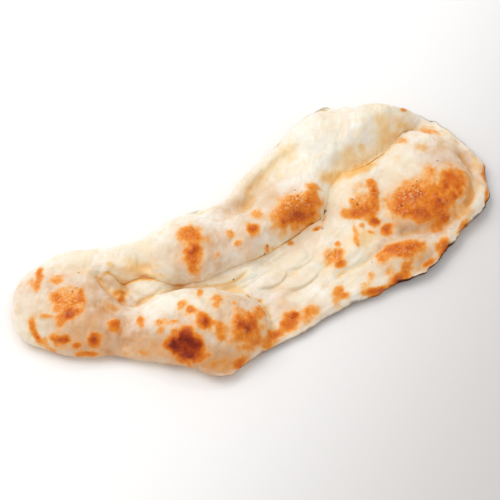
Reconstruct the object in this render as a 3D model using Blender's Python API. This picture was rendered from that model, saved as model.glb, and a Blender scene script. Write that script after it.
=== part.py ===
"""Butter naan: one long puffed flatbread, folded over along its back roll.

Row frame: +X runs from the narrow knob to the broad end, -Y is the front,
+Z is up, and the bread rests on z = 0 with its bounding box centred on the origin.
All sizes are in metres, angles in degrees.
"""
import bpy
import numpy as np
from mathutils import Vector, geometry
from mathutils.kdtree import KDTree

# Mesh spacing of the solid.
EDGE_STEP = 0.0048
TOP_STEP = 0.0047
BASE_STEP = 0.0140
RING_OFFSETS = (0.0009, 0.0030, 0.0068, 0.0120)
BASE_RING_OFFSETS = (0.0022, 0.0075, 0.0150)
LIP_STATION_STEP = 0.0050
LIP_ROWS = (-0.0045, 0.0)
LIP_TURNS = (0.16, 0.32, 0.48, 0.64, 0.82, 1.0)

# Dough sheet between the bubbles, and how softly neighbouring forms join.
SHEET_HEIGHT = 0.0085
JOIN = 0.0080
BASE_CURL = 0.85

# Edge of the bread seen from above, counter-clockwise from the knob's tip:
# x, y, height of the edge line above the table, depth of the rounded edge.
OUTLINE = (
    (-0.2226, -0.0119, 0.012, 0.022),
    (-0.2213, -0.0293, 0.011, 0.022),
    (-0.2140, -0.0422, 0.009, 0.022),
    (-0.2023, -0.0507, 0.008, 0.022),
    (-0.1865, -0.0612, 0.008, 0.022),
    (-0.1684, -0.0688, 0.008, 0.021),
    (-0.1502, -0.0719, 0.008, 0.02),
    (-0.1313, -0.0808, 0.008, 0.02),
    (-0.1087, -0.0919, 0.009, 0.022),
    (-0.0889, -0.1017, 0.01, 0.024),
    (-0.0714, -0.1148, 0.01, 0.024),
    (-0.0581, -0.1172, 0.009, 0.021),
    (-0.0426, -0.1106, 0.008, 0.016),
    (-0.0239, -0.1030, 0.006, 0.011),
    (-0.0039, -0.0984, 0.005, 0.007),
    (0.0180, -0.0924, 0.0045, 0.006),
    (0.0400, -0.0850, 0.0045, 0.006),
    (0.0640, -0.0800, 0.0045, 0.006),
    (0.0900, -0.0757, 0.006, 0.006),
    (0.1120, -0.0717, 0.008, 0.007),
    (0.1352, -0.0673, 0.01, 0.008),
    (0.1551, -0.0552, 0.01, 0.008),
    (0.1724, -0.0428, 0.01, 0.008),
    (0.1902, -0.0306, 0.01, 0.008),
    (0.2066, -0.0199, 0.01, 0.008),
    (0.2152, -0.0082, 0.009, 0.008),
    (0.2193, 0.0061, 0.009, 0.008),
    (0.2246, 0.0258, 0.009, 0.008),
    (0.2207, 0.0379, 0.009, 0.008),
    (0.2132, 0.0538, 0.01, 0.008),
    (0.2060, 0.0718, 0.01, 0.008),
    (0.1954, 0.0854, 0.011, 0.009),
    (0.1808, 0.0960, 0.013, 0.012),
    (0.1609, 0.1036, 0.019, 0.018),
    (0.1413, 0.1090, 0.022, 0.024),
    (0.1191, 0.1123, 0.022, 0.026),
    (0.0994, 0.1190, 0.021, 0.026),
    (0.0812, 0.1162, 0.02, 0.024),
    (0.0641, 0.1064, 0.018, 0.018),
    (0.0464, 0.0951, 0.016, 0.014),
    (0.0287, 0.0847, 0.014, 0.012),
    (0.0109, 0.0726, 0.014, 0.012),
    (-0.0040, 0.0616, 0.014, 0.012),
    (-0.0144, 0.0497, 0.014, 0.012),
    (-0.0260, 0.0442, 0.015, 0.014),
    (-0.0499, 0.0432, 0.017, 0.018),
    (-0.0723, 0.0380, 0.017, 0.018),
    (-0.0883, 0.0307, 0.016, 0.017),
    (-0.1039, 0.0275, 0.014, 0.016),
    (-0.1270, 0.0268, 0.013, 0.016),
    (-0.1450, 0.0297, 0.013, 0.016),
    (-0.1599, 0.0344, 0.013, 0.018),
    (-0.1742, 0.0346, 0.013, 0.02),
    (-0.1883, 0.0289, 0.013, 0.022),
    (-0.2027, 0.0224, 0.013, 0.022),
    (-0.2147, 0.0107, 0.013, 0.022),
)

# Crease under the folded back roll, left to right: x, y, radius of the rolled lip,
# angle the lip tucks under itself, how gently it comes down (1 is round).
LIP_LINE = (
    (-0.1454, -0.0040, 0.007, 0.0, 1.0),
    (-0.1360, -0.0020, 0.008, 0.0, 1.0),
    (-0.1290, -0.0050, 0.009, 10.0, 1.0),
    (-0.1210, -0.0092, 0.010, 20.0, 1.0),
    (-0.1040, -0.0139, 0.011, 22.0, 1.0),
    (-0.0850, -0.0206, 0.012, 28.0, 1.0),
    (-0.0600, -0.0261, 0.013, 28.0, 1.0),
    (-0.0400, -0.0231, 0.013, 28.0, 1.0),
    (-0.0140, -0.0165, 0.014, 25.0, 1.2),
    (0.0080, -0.0117, 0.016, 8.0, 1.6),
    (0.0280, -0.0050, 0.018, 0.0, 1.8),
    (0.0460, 0.0026, 0.017, 0.0, 1.8),
    (0.0600, 0.0065, 0.014, 0.0, 1.6),
    (0.0680, 0.0170, 0.013, 0.0, 1.5),
    (0.0790, 0.0330, 0.018, 0.0, 1.6),
    (0.0950, 0.0430, 0.025, 0.0, 1.7),
    (0.1140, 0.0470, 0.029, 0.0, 1.7),
    (0.1340, 0.0560, 0.028, 0.0, 1.7),
    (0.1520, 0.0660, 0.026, 0.0, 1.7),
    (0.1680, 0.0780, 0.020, 0.0, 1.6),
    (0.1860, 0.0870, 0.012, 0.0, 1.4),
    (0.2000, 0.0920, 0.006, 0.0, 1.0),
)
LIP_FADE = (-0.137, -0.126)

# Puffed bubbles: centre x, y, half length, half width, turn, height, fullness.
FRONT_BUBBLES = {
    "knob": (-0.178, -0.019, 0.054, 0.057, 10.0, 0.031, 2.3),
    "knob_shoulder": (-0.146, -0.042, 0.034, 0.036, -20.0, 0.026, 2.2),
    "lower_roll": (-0.078, -0.070, 0.066, 0.042, -12.0, 0.038, 2.2),
    "lower_roll_end": (-0.047, -0.077, 0.035, 0.038, -8.0, 0.031, 2.0),
    "tucked_layer": (-0.104, -0.020, 0.024, 0.014, -22.0, 0.017, 2.4),
    "inner_layer": (-0.040, -0.026, 0.040, 0.012, 4.0, 0.015, 2.4),
    "right_floor": (0.128, -0.002, 0.092, 0.064, 10.0, 0.021, 2.0),
    "dome_foot": (0.112, 0.036, 0.062, 0.028, 20.0, 0.0245, 2.0),
    "front_strip": (0.058, -0.066, 0.078, 0.019, 9.0, 0.0135, 2.0),
    "middle_bump": (0.098, 0.012, 0.032, 0.030, 20.0, 0.027, 2.0),
    "big_dome": (0.164, 0.010, 0.050, 0.046, -20.0, 0.034, 2.2),
    "big_dome_top": (0.168, 0.044, 0.046, 0.036, 20.0, 0.029, 2.2),
    "front_rim_roll": (0.122, -0.047, 0.036, 0.016, 12.0, 0.020, 2.2),
}
BACK_BUBBLES = {
    "neck_ridge": (-0.136, 0.013, 0.058, 0.029, -6.0, 0.030, 2.2),
    "left_dome": (-0.062, 0.006, 0.052, 0.040, -6.0, 0.039, 2.4),
    "saddle": (-0.012, 0.006, 0.046, 0.036, 8.0, 0.034, 2.4),
    "middle_dome": (0.040, 0.022, 0.050, 0.040, 20.0, 0.037, 2.4),
    "back_ridge": (0.022, 0.062, 0.060, 0.021, 33.0, 0.029, 2.2),
    "back_link": (-0.022, 0.034, 0.036, 0.020, 20.0, 0.028, 2.2),
    "bridge": (0.062, 0.052, 0.036, 0.034, 30.0, 0.035, 2.0),
    "back_dome": (0.116, 0.080, 0.074, 0.042, 4.0, 0.047, 2.2),
    "back_corner": (0.082, 0.086, 0.040, 0.032, 18.0, 0.044, 2.2),
}

# Rolled rim round the broad end: first and last outline point, height, width, inset.
RIM_SPAN = (20, 32)
RIM_HEIGHT = 0.0155
RIM_HALF_WIDTH = 0.0095
RIM_INSET = 0.0080

# Creases and ridges: depth (minus) or height (plus), half width, points.
FOLDS = (
    (-0.0050, 0.0040, ((-0.145, -0.003), (-0.140, -0.014), (-0.134, -0.022), (-0.130, -0.030))),
    (-0.0050, 0.0080, ((-0.134, -0.012), (-0.127, -0.016))),
    (-0.0040, 0.0050, ((-0.128, -0.033), (-0.112, -0.034), (-0.098, -0.029), (-0.078, -0.029))),
    (-0.0030, 0.0045, ((-0.134, -0.050), (-0.137, -0.068))),
    (-0.0030, 0.0040, ((0.056, -0.052), (0.072, -0.050), (0.086, -0.047), (0.100, -0.040))),
    (-0.0040, 0.0045, ((0.124, -0.030), (0.142, -0.031), (0.160, -0.031), (0.178, -0.025),
                       (0.192, -0.014), (0.203, 0.000), (0.206, 0.016), (0.206, 0.034),
                       (0.200, 0.052), (0.188, 0.066), (0.176, 0.074))),
    (-0.0050, 0.0080, ((-0.020, 0.029), (-0.006, 0.032), (0.004, 0.040), (0.022, 0.054),
                       (0.042, 0.067), (0.056, 0.074))),
    (-0.0022, 0.0110, ((0.090, 0.062), (0.096, 0.084), (0.102, 0.100))),
    (0.0030, 0.0065, ((-0.022, -0.048), (0.004, -0.036), (0.030, -0.024))),
    (0.0030, 0.0065, ((0.002, -0.060), (0.028, -0.044), (0.054, -0.026))),
    (0.0026, 0.0070, ((0.040, -0.056), (0.064, -0.040), (0.086, -0.022))),
)


def clear_scene():
    for item in list(bpy.data.objects):
        bpy.data.objects.remove(item, do_unlink=True)


def smooth_curve(points, step, closed):
    """Catmull-Rom curve through the points, resampled about every step in plan."""
    rows = np.array(points, float)
    count = len(rows)
    spans = count if closed else count - 1
    dense = []
    for index in range(spans):
        if closed:
            picks = [(index + k) % count for k in (-1, 0, 1, 2)]
        else:
            picks = [min(max(index + k, 0), count - 1) for k in (-1, 0, 1, 2)]
        before, start, end, after = rows[picks]
        for t in np.arange(16) / 16.0:
            dense.append(0.5 * (2.0 * start + (end - before) * t
                                + (2.0 * before - 5.0 * start + 4.0 * end - after) * t ** 2
                                + (3.0 * start - before - 3.0 * end + after) * t ** 3))
    dense.append(rows[0] if closed else rows[-1])
    dense = np.array(dense)
    gaps = np.hypot(*np.diff(dense[:, :2], axis=0).T)
    along = np.concatenate([[0.0], np.cumsum(gaps)])
    number = max(int(round(along[-1] / step)), 2)
    targets = np.linspace(0.0, along[-1], number + 1)
    curve = np.stack([np.interp(targets, along, dense[:, k]) for k in range(dense.shape[1])], 1)
    return curve[:-1] if closed else curve


def nearest_on(points, curve, closed):
    """Distance to a curve, side of it (plus is left), and the curve's values there."""
    starts = curve
    ends = np.roll(curve, -1, axis=0)
    if not closed:
        starts = curve[:-1]
        ends = curve[1:]
    best = np.full(len(points), np.inf)
    side = np.ones(len(points))
    values = np.zeros((len(points), curve.shape[1]))
    for start, end in zip(starts, ends):
        run = end[:2] - start[:2]
        offset = points - start[:2]
        t = np.clip(offset @ run / max(run @ run, 1e-18), 0.0, 1.0)
        gap = offset - t[:, None] * run
        distance = np.hypot(gap[:, 0], gap[:, 1])
        closer = distance < best
        best[closer] = distance[closer]
        cross = run[0] * offset[closer, 1] - run[1] * offset[closer, 0]
        side[closer] = np.where(cross >= 0.0, 1.0, -1.0)
        values[closer] = start + t[closer, None] * (end - start)
    return best, side, values


def rounded(distance, radius):
    """Quarter-round rise from 0 at an edge to 1 at the radius."""
    inner = np.clip(distance / radius, 0.0, 1.0)
    return np.sqrt(np.clip(1.0 - (1.0 - inner) ** 2, 0.0, 1.0))


def smooth_step(value, low, high):
    t = np.clip((value - low) / (high - low), 0.0, 1.0)
    return t * t * (3.0 - 2.0 * t)


def soft_max(first, second, width):
    near = np.clip(width - np.abs(first - second), 0.0, None) / width
    return np.maximum(first, second) + near * near * width / 4.0


def bubble(points, size):
    """Height of one puffed bubble over the plan points."""
    centre_x, centre_y, half_length, half_width, turn, height, fullness = size
    angle = np.radians(turn)
    x = points[:, 0] - centre_x
    y = points[:, 1] - centre_y
    u = (x * np.cos(angle) + y * np.sin(angle)) / half_length
    v = (y * np.cos(angle) - x * np.sin(angle)) / half_width
    r = np.sqrt(u * u + v * v)
    return height * np.sqrt(np.clip(1.0 - r ** fullness, 0.0, 1.0))


def folds_at(points):
    """Sum of the creases and ridges that cross the sheet."""
    total = np.zeros(len(points))
    for height, half_width, line in FOLDS:
        distance, side, values = nearest_on(points, smooth_curve(line, 0.004, False), False)
        total += height * np.exp(-(distance / half_width) ** 2)
    return total


def rim_at(points, distance, outline_values):
    """Height of the rolled rim round the broad end."""
    first = OUTLINE[RIM_SPAN[0]]
    last = OUTLINE[RIM_SPAN[1]]
    start = smooth_step(points[:, 0] - 0.6 * points[:, 1], first[0] - 0.6 * first[1] - 0.012,
                        first[0] - 0.6 * first[1] + 0.012)
    end = smooth_step(points[:, 0] - points[:, 1], last[0] - last[1] - 0.020, last[0] - last[1])
    across = (distance - RIM_INSET) / RIM_HALF_WIDTH
    return start * end * RIM_HEIGHT * np.sqrt(np.clip(1.0 - across ** 2, 0.0, 1.0))


def lip_at(points, lip_curve):
    """Share of the back roll's height, and how far it leans forward over the crease."""
    distance, side, values = nearest_on(points, lip_curve, False)
    radius = values[:, 2]
    tuck = np.radians(values[:, 3])
    reach = radius * np.cos(tuck)
    t = np.clip(distance * side / reach, 0.0, 1.0)
    turn = -tuck + (np.pi / 2.0 + tuck) * t
    share = (np.sin(turn) + np.sin(tuck)) / (1.0 + np.sin(tuck))
    lean = radius * (np.cos(turn) - np.cos(tuck) * (1.0 - t))
    behind = side > 0.0
    share = np.where(behind, np.clip(share, 0.0, 1.0) ** values[:, 4], 0.0)
    lean = np.where(behind & (t < 1.0), lean, 0.0)
    weight = smooth_step(points[:, 0], *LIP_FADE)
    normal = points - values[:, :2]
    length = np.maximum(np.hypot(normal[:, 0], normal[:, 1]), 1e-9)
    direction = -normal / length[:, None]
    return 1.0 - weight * (1.0 - share), lean * weight, direction


def top_surface(points, outline, lip_curve):
    """Plan points of the top side carried to their place on the bread."""
    distance, side, edge = nearest_on(points, outline, True)
    front = np.full(len(points), SHEET_HEIGHT)
    for size in FRONT_BUBBLES.values():
        front = soft_max(front, bubble(points, size), JOIN)
    front = soft_max(front, rim_at(points, distance, edge), JOIN)
    back = np.zeros(len(points))
    for size in BACK_BUBBLES.values():
        back = soft_max(back, bubble(points, size), JOIN)
    share, lean, direction = lip_at(points, lip_curve)
    height = front + np.clip(back - front, 0.0, None) * share
    height = np.maximum(height + folds_at(points), 0.0055)
    rise = np.clip((back - front) / 0.012, 0.0, 1.0)
    lean = lean * rise * smooth_step(distance, 0.004, 0.016)
    z = edge[:, 2] + (height - edge[:, 2]) * rounded(distance, edge[:, 3])
    moved = points + direction * lean[:, None]
    return np.column_stack([moved, z])


def base_surface(points, outline):
    """Plan points of the underside: flat in the middle, curling up to the edge."""
    distance, side, edge = nearest_on(points, outline, True)
    reach = BASE_CURL * (0.006 + edge[:, 3])
    z = edge[:, 2] * (1.0 - rounded(distance, reach))
    return np.column_stack([points, z])


def inside(points, outline):
    """True where a plan point lies within the outline."""
    crossings = np.zeros(len(points), int)
    for start, end in zip(outline, np.roll(outline, -1, axis=0)):
        spans = (start[1] > points[:, 1]) != (end[1] > points[:, 1])
        drop = end[1] - start[1]
        if abs(drop) < 1e-15:
            continue
        at = start[0] + (points[:, 1] - start[1]) * (end[0] - start[0]) / drop
        crossings += (spans & (points[:, 0] < at)).astype(int)
    return crossings % 2 == 1


def ring_points(outline, offset):
    """Points set inward from the outline, left out where the ring folds over itself."""
    ahead = np.roll(outline, -1, axis=0)[:, :2]
    behind = np.roll(outline, 1, axis=0)[:, :2]
    run = ahead - behind
    normal = np.column_stack([-run[:, 1], run[:, 0]])
    normal /= np.hypot(normal[:, 0], normal[:, 1])[:, None]
    points = outline[:, :2] + normal * offset
    distance, side, values = nearest_on(points, outline, True)
    return points[distance > 0.93 * offset]


def lattice_points(outline, step, clear):
    """Even triangular lattice inside the outline."""
    low = outline[:, :2].min(axis=0)
    high = outline[:, :2].max(axis=0)
    rows = int((high[1] - low[1]) / (step * 0.866)) + 1
    columns = int((high[0] - low[0]) / step) + 2
    points = []
    for row in range(rows):
        for column in range(columns):
            points.append((low[0] + (column + 0.5 * (row % 2)) * step,
                           low[1] + (row + 0.5) * step * 0.866))
    points = np.array(points)
    points = points[inside(points, outline)]
    distance, side, values = nearest_on(points, outline, True)
    return points[distance > clear]


def lip_points(lip_curve):
    """Rows of points that follow the rolled lip."""
    ahead = np.vstack([lip_curve[1:], lip_curve[-1:]])[:, :2]
    behind = np.vstack([lip_curve[:1], lip_curve[:-1]])[:, :2]
    run = ahead - behind
    normal = np.column_stack([-run[:, 1], run[:, 0]])
    normal /= np.hypot(normal[:, 0], normal[:, 1])[:, None]
    reach = lip_curve[:, 2] * np.cos(np.radians(lip_curve[:, 3]))
    rows = [lip_curve[:, :2] + normal * offset for offset in LIP_ROWS]
    rows += [lip_curve[:, :2] + normal * (reach * turn)[:, None] for turn in LIP_TURNS]
    return np.vstack(rows)


def add_clear(kept, extra, gap):
    """Join the extra points that keep the given gap to the kept ones."""
    tree = KDTree(len(kept))
    for index, point in enumerate(kept):
        tree.insert((point[0], point[1], 0.0), index)
    tree.balance()
    free = [tree.find((point[0], point[1], 0.0))[2] > gap for point in extra]
    return np.vstack([kept, extra[np.array(free, bool)]])


def thin_out(points, gap):
    """Drop points that crowd an earlier one."""
    kept = []
    for point in points:
        if not kept or np.min(np.hypot(*(np.array(kept) - point).T)) > gap:
            kept.append(point)
    return np.array(kept)


def triangulate(points, edge_count):
    """Triangles over plan points whose first edge_count points are the closed outline."""
    coords = [Vector((point[0] * 1000.0, point[1] * 1000.0)) for point in points]
    edges = [(index, (index + 1) % edge_count) for index in range(edge_count)]
    found = geometry.delaunay_2d_cdt(coords, edges, [], 1, 1e-6)
    origin = [members[0] for members in found[3]]
    triangles = []
    for face in found[2]:
        corners = [origin[corner] for corner in face]
        a, b, c = points[corners[0]], points[corners[1]], points[corners[2]]
        area = (b[0] - a[0]) * (c[1] - a[1]) - (b[1] - a[1]) * (c[0] - a[0])
        triangles.append(corners if area > 0.0 else corners[::-1])
    return triangles


def top_plan(outline, lip_curve):
    """Plan points of the top side."""
    points = outline[:, :2]
    lip = thin_out(lip_points(lip_curve), 0.0008)
    lip = lip[inside(lip, outline)]
    distance, side, values = nearest_on(lip, outline, True)
    points = np.vstack([points, lip[distance > 0.0035]])
    for offset in RING_OFFSETS:
        points = add_clear(points, ring_points(outline, offset), 0.0009 + 0.18 * offset)
    clear = RING_OFFSETS[-1] + 0.6 * TOP_STEP
    return add_clear(points, lattice_points(outline, TOP_STEP, clear), 0.62 * TOP_STEP)


def base_plan(outline):
    """Plan points of the underside."""
    points = outline[:, :2]
    for number, offset in enumerate(BASE_RING_OFFSETS):
        ring = ring_points(outline, offset)[::number + 1]
        points = add_clear(points, ring, 0.5 * offset)
    clear = BASE_RING_OFFSETS[-1] + 0.5 * BASE_STEP
    return add_clear(points, lattice_points(outline, BASE_STEP, clear), 0.5 * BASE_STEP)


def naan_mesh():
    """Vertices and triangles of the closed bread."""
    outline = smooth_curve(OUTLINE, EDGE_STEP, True)
    lip_curve = smooth_curve(LIP_LINE, LIP_STATION_STEP, False)
    edge_count = len(outline)
    top = top_plan(outline, lip_curve)
    base = base_plan(outline)
    top_faces = triangulate(top, edge_count)
    base_faces = triangulate(base, edge_count)
    vertices = top_surface(top, outline, lip_curve)
    vertices = np.vstack([vertices, base_surface(base[edge_count:], outline)])
    shift = len(top) - edge_count
    faces = [tuple(face) for face in top_faces]
    for face in base_faces:
        a, b, c = [corner if corner < edge_count else corner + shift for corner in face]
        faces.append((c, b, a))
    return vertices, faces


def dough_material():
    material = bpy.data.materials.new("baked_dough")
    material.use_nodes = True
    shader = material.node_tree.nodes["Principled BSDF"]
    shader.inputs["Base Color"].default_value = (0.87, 0.70, 0.45, 1.0)
    shader.inputs["Roughness"].default_value = 0.45
    return material


def build_naan():
    vertices, faces = naan_mesh()
    low = vertices.min(axis=0)
    high = vertices.max(axis=0)
    middle = (low + high) / 2.0
    vertices = vertices - np.array([middle[0], middle[1], low[2]])
    mesh = bpy.data.meshes.new("naan")
    mesh.from_pydata([tuple(vertex) for vertex in vertices], [], faces)
    mesh.update()
    mesh.materials.append(dough_material())
    naan = bpy.data.objects.new("naan", mesh)
    bpy.context.scene.collection.objects.link(naan)
    print("triangles", len(faces), "size", np.round(high - low, 4), "shift", np.round(middle, 4))


clear_scene()
build_naan()
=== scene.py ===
"""Butter naan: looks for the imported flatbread, in the same frame as its solid.

The form is worked out from the same named sizes as the solid, on a finer mesh, and then
carries the small relief, the browned blisters and the butter gloss of the baked dough.
Sizes are in metres and angles in degrees unless a name says otherwise.
"""
import math

import bpy
import numpy as np
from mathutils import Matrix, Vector, geometry, noise
from mathutils.kdtree import KDTree

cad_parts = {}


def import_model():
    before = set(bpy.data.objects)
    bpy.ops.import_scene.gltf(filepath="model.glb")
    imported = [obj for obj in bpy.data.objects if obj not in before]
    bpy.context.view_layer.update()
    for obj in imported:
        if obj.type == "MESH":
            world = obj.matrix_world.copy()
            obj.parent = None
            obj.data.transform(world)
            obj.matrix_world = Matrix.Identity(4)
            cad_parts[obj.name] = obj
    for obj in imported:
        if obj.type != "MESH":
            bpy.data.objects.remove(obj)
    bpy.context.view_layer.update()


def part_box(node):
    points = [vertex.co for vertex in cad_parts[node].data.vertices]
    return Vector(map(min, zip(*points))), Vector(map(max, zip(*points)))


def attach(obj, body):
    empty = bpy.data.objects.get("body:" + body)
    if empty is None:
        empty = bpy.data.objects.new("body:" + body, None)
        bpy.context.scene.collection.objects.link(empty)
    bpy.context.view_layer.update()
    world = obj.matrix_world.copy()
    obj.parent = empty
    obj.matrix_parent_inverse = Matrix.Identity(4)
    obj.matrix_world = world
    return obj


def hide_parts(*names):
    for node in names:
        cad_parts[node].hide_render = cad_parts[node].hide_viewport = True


# Mesh spacing of the visible bread, before its triangles are split in four.
EDGE_STEP = 0.0024
TOP_STEP = 0.0024
BASE_STEP = 0.0072
RING_OFFSETS = (0.0006, 0.0016, 0.0032, 0.0054, 0.0080, 0.0108)
BASE_RING_OFFSETS = (0.0016, 0.0040, 0.0080, 0.0130)
LIP_STATION_STEP = 0.0024
LIP_ROWS = (-0.0040, -0.0020, 0.0)
LIP_TURNS = (0.08, 0.16, 0.24, 0.32, 0.40, 0.48, 0.56, 0.64, 0.73, 0.82, 0.91, 1.0)

# How the curves are drawn, and the least gaps between plan points, as metres or shares.
CURVE_SAMPLES = 16
LATTICE_ROW = 0.866
RING_KEEP = 0.93
RING_GAP = (0.0009, 0.18)
LIP_POINT_GAP = 0.0008
LIP_TO_EDGE_GAP = 0.0035
TOP_CLEAR = 0.6
TOP_GAP = 0.62
BASE_GAP = 0.5

# Camera and light, set from the photograph.
LENS_MM = 85.0
SENSOR_MM = 36.0
CAMERA_AZIMUTH = -16.0
CAMERA_ELEVATION = 58.0
CAMERA_DISTANCE = 1.040
CAMERA_AIM = (-0.0102, -0.0071, 0.0100)

# Lights: name, direction, distance, size, watts, colour.
LIGHTS = (
    ("key", (-0.50, 0.42, 0.95), 1.5, 1.2, 8.5, (1.0, 0.99, 0.98)),
    ("spark", (0.05, 0.60, 0.85), 1.2, 0.07, 0.9, (1.0, 1.0, 1.0)),
)
WORLD_COLOUR = (1.0, 0.995, 0.99, 1.0)
WORLD_STRENGTH = 0.80

# Floor: size, two whites of its paper, the painted shade it falls to towards the right and front, and
# where it does.
FLOOR_SIZE = 8.0
PAPER = ((0.93, 0.925, 0.92, 1.0), (0.95, 0.945, 0.94, 1.0))
FLOOR_PAINTED_SHADE = (0.61, 0.59, 0.58, 1.0)
FLOOR_SHADE_FADE = (-0.05, 0.45)

# Dough sheet between the bubbles, and how softly neighbouring forms join.
SHEET_HEIGHT = 0.0085
LEAST_HEIGHT = 0.0055
JOIN = 0.0080
BASE_CURL = 0.85
BASE_CURL_MARGIN = 0.006

# Folded lip: rise of the back over the front at which it leans in full, and fade from the edge.
LIP_FULL_RISE = 0.012
LIP_LEAN_FADE = (0.004, 0.016)

# Edge of the bread seen from above, counter-clockwise from the knob's tip:
# x, y, height of the edge line above the table, depth of the rounded edge.
OUTLINE = (
    (-0.2226, -0.0119, 0.012, 0.022),
    (-0.2213, -0.0293, 0.011, 0.022),
    (-0.2140, -0.0422, 0.009, 0.022),
    (-0.2023, -0.0507, 0.008, 0.022),
    (-0.1865, -0.0612, 0.008, 0.022),
    (-0.1684, -0.0688, 0.008, 0.021),
    (-0.1502, -0.0719, 0.008, 0.02),
    (-0.1313, -0.0808, 0.008, 0.02),
    (-0.1087, -0.0919, 0.009, 0.022),
    (-0.0889, -0.1017, 0.01, 0.024),
    (-0.0714, -0.1148, 0.01, 0.024),
    (-0.0581, -0.1172, 0.009, 0.021),
    (-0.0426, -0.1106, 0.008, 0.016),
    (-0.0239, -0.1030, 0.006, 0.011),
    (-0.0039, -0.0984, 0.005, 0.007),
    (0.0180, -0.0924, 0.0045, 0.006),
    (0.0400, -0.0850, 0.0045, 0.006),
    (0.0640, -0.0800, 0.0045, 0.006),
    (0.0900, -0.0757, 0.006, 0.006),
    (0.1120, -0.0717, 0.008, 0.007),
    (0.1352, -0.0673, 0.01, 0.008),
    (0.1551, -0.0552, 0.01, 0.008),
    (0.1724, -0.0428, 0.01, 0.008),
    (0.1902, -0.0306, 0.01, 0.008),
    (0.2066, -0.0199, 0.01, 0.008),
    (0.2152, -0.0082, 0.009, 0.008),
    (0.2193, 0.0061, 0.009, 0.008),
    (0.2246, 0.0258, 0.009, 0.008),
    (0.2207, 0.0379, 0.009, 0.008),
    (0.2132, 0.0538, 0.01, 0.008),
    (0.2060, 0.0718, 0.01, 0.008),
    (0.1954, 0.0854, 0.011, 0.009),
    (0.1808, 0.0960, 0.013, 0.012),
    (0.1609, 0.1036, 0.019, 0.018),
    (0.1413, 0.1090, 0.022, 0.024),
    (0.1191, 0.1123, 0.022, 0.026),
    (0.0994, 0.1190, 0.021, 0.026),
    (0.0812, 0.1162, 0.02, 0.024),
    (0.0641, 0.1064, 0.018, 0.018),
    (0.0464, 0.0951, 0.016, 0.014),
    (0.0287, 0.0847, 0.014, 0.012),
    (0.0109, 0.0726, 0.014, 0.012),
    (-0.0040, 0.0616, 0.014, 0.012),
    (-0.0144, 0.0497, 0.014, 0.012),
    (-0.0260, 0.0442, 0.015, 0.014),
    (-0.0499, 0.0432, 0.017, 0.018),
    (-0.0723, 0.0380, 0.017, 0.018),
    (-0.0883, 0.0307, 0.016, 0.017),
    (-0.1039, 0.0275, 0.014, 0.016),
    (-0.1270, 0.0268, 0.013, 0.016),
    (-0.1450, 0.0297, 0.013, 0.016),
    (-0.1599, 0.0344, 0.013, 0.018),
    (-0.1742, 0.0346, 0.013, 0.02),
    (-0.1883, 0.0289, 0.013, 0.022),
    (-0.2027, 0.0224, 0.013, 0.022),
    (-0.2147, 0.0107, 0.013, 0.022),
)

# Crease under the folded back roll, left to right: x, y, radius of the rolled lip,
# angle the lip tucks under itself, how gently it comes down (1 is round).
LIP_LINE = (
    (-0.1454, -0.0040, 0.007, 0.0, 1.0),
    (-0.1360, -0.0020, 0.008, 0.0, 1.0),
    (-0.1290, -0.0050, 0.009, 10.0, 1.0),
    (-0.1210, -0.0092, 0.010, 20.0, 1.0),
    (-0.1040, -0.0139, 0.011, 22.0, 1.0),
    (-0.0850, -0.0206, 0.012, 28.0, 1.0),
    (-0.0600, -0.0261, 0.013, 28.0, 1.0),
    (-0.0400, -0.0231, 0.013, 28.0, 1.0),
    (-0.0140, -0.0165, 0.014, 25.0, 1.2),
    (0.0080, -0.0117, 0.016, 8.0, 1.6),
    (0.0280, -0.0050, 0.018, 0.0, 1.8),
    (0.0460, 0.0026, 0.017, 0.0, 1.8),
    (0.0600, 0.0065, 0.014, 0.0, 1.6),
    (0.0680, 0.0170, 0.013, 0.0, 1.5),
    (0.0790, 0.0330, 0.018, 0.0, 1.6),
    (0.0950, 0.0430, 0.025, 0.0, 1.7),
    (0.1140, 0.0470, 0.029, 0.0, 1.7),
    (0.1340, 0.0560, 0.028, 0.0, 1.7),
    (0.1520, 0.0660, 0.026, 0.0, 1.7),
    (0.1680, 0.0780, 0.020, 0.0, 1.6),
    (0.1860, 0.0870, 0.012, 0.0, 1.4),
    (0.2000, 0.0920, 0.006, 0.0, 1.0),
)
LIP_FADE = (-0.137, -0.126)

# Puffed bubbles: centre x, y, half length, half width, turn, height, fullness.
FRONT_BUBBLES = {
    "knob": (-0.178, -0.019, 0.054, 0.057, 10.0, 0.031, 2.3),
    "knob_shoulder": (-0.146, -0.042, 0.034, 0.036, -20.0, 0.026, 2.2),
    "lower_roll": (-0.078, -0.070, 0.066, 0.042, -12.0, 0.038, 2.2),
    "lower_roll_end": (-0.047, -0.077, 0.035, 0.038, -8.0, 0.031, 2.0),
    "tucked_layer": (-0.104, -0.020, 0.024, 0.014, -22.0, 0.017, 2.4),
    "inner_layer": (-0.040, -0.026, 0.040, 0.012, 4.0, 0.015, 2.4),
    "right_floor": (0.128, -0.002, 0.092, 0.064, 10.0, 0.021, 2.0),
    "dome_foot": (0.112, 0.036, 0.062, 0.028, 20.0, 0.0245, 2.0),
    "front_strip": (0.058, -0.066, 0.078, 0.019, 9.0, 0.0135, 2.0),
    "middle_bump": (0.098, 0.012, 0.032, 0.030, 20.0, 0.027, 2.0),
    "big_dome": (0.164, 0.010, 0.050, 0.046, -20.0, 0.034, 2.2),
    "big_dome_top": (0.168, 0.044, 0.046, 0.036, 20.0, 0.029, 2.2),
    "front_rim_roll": (0.122, -0.047, 0.036, 0.016, 12.0, 0.020, 2.2),
}
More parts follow.
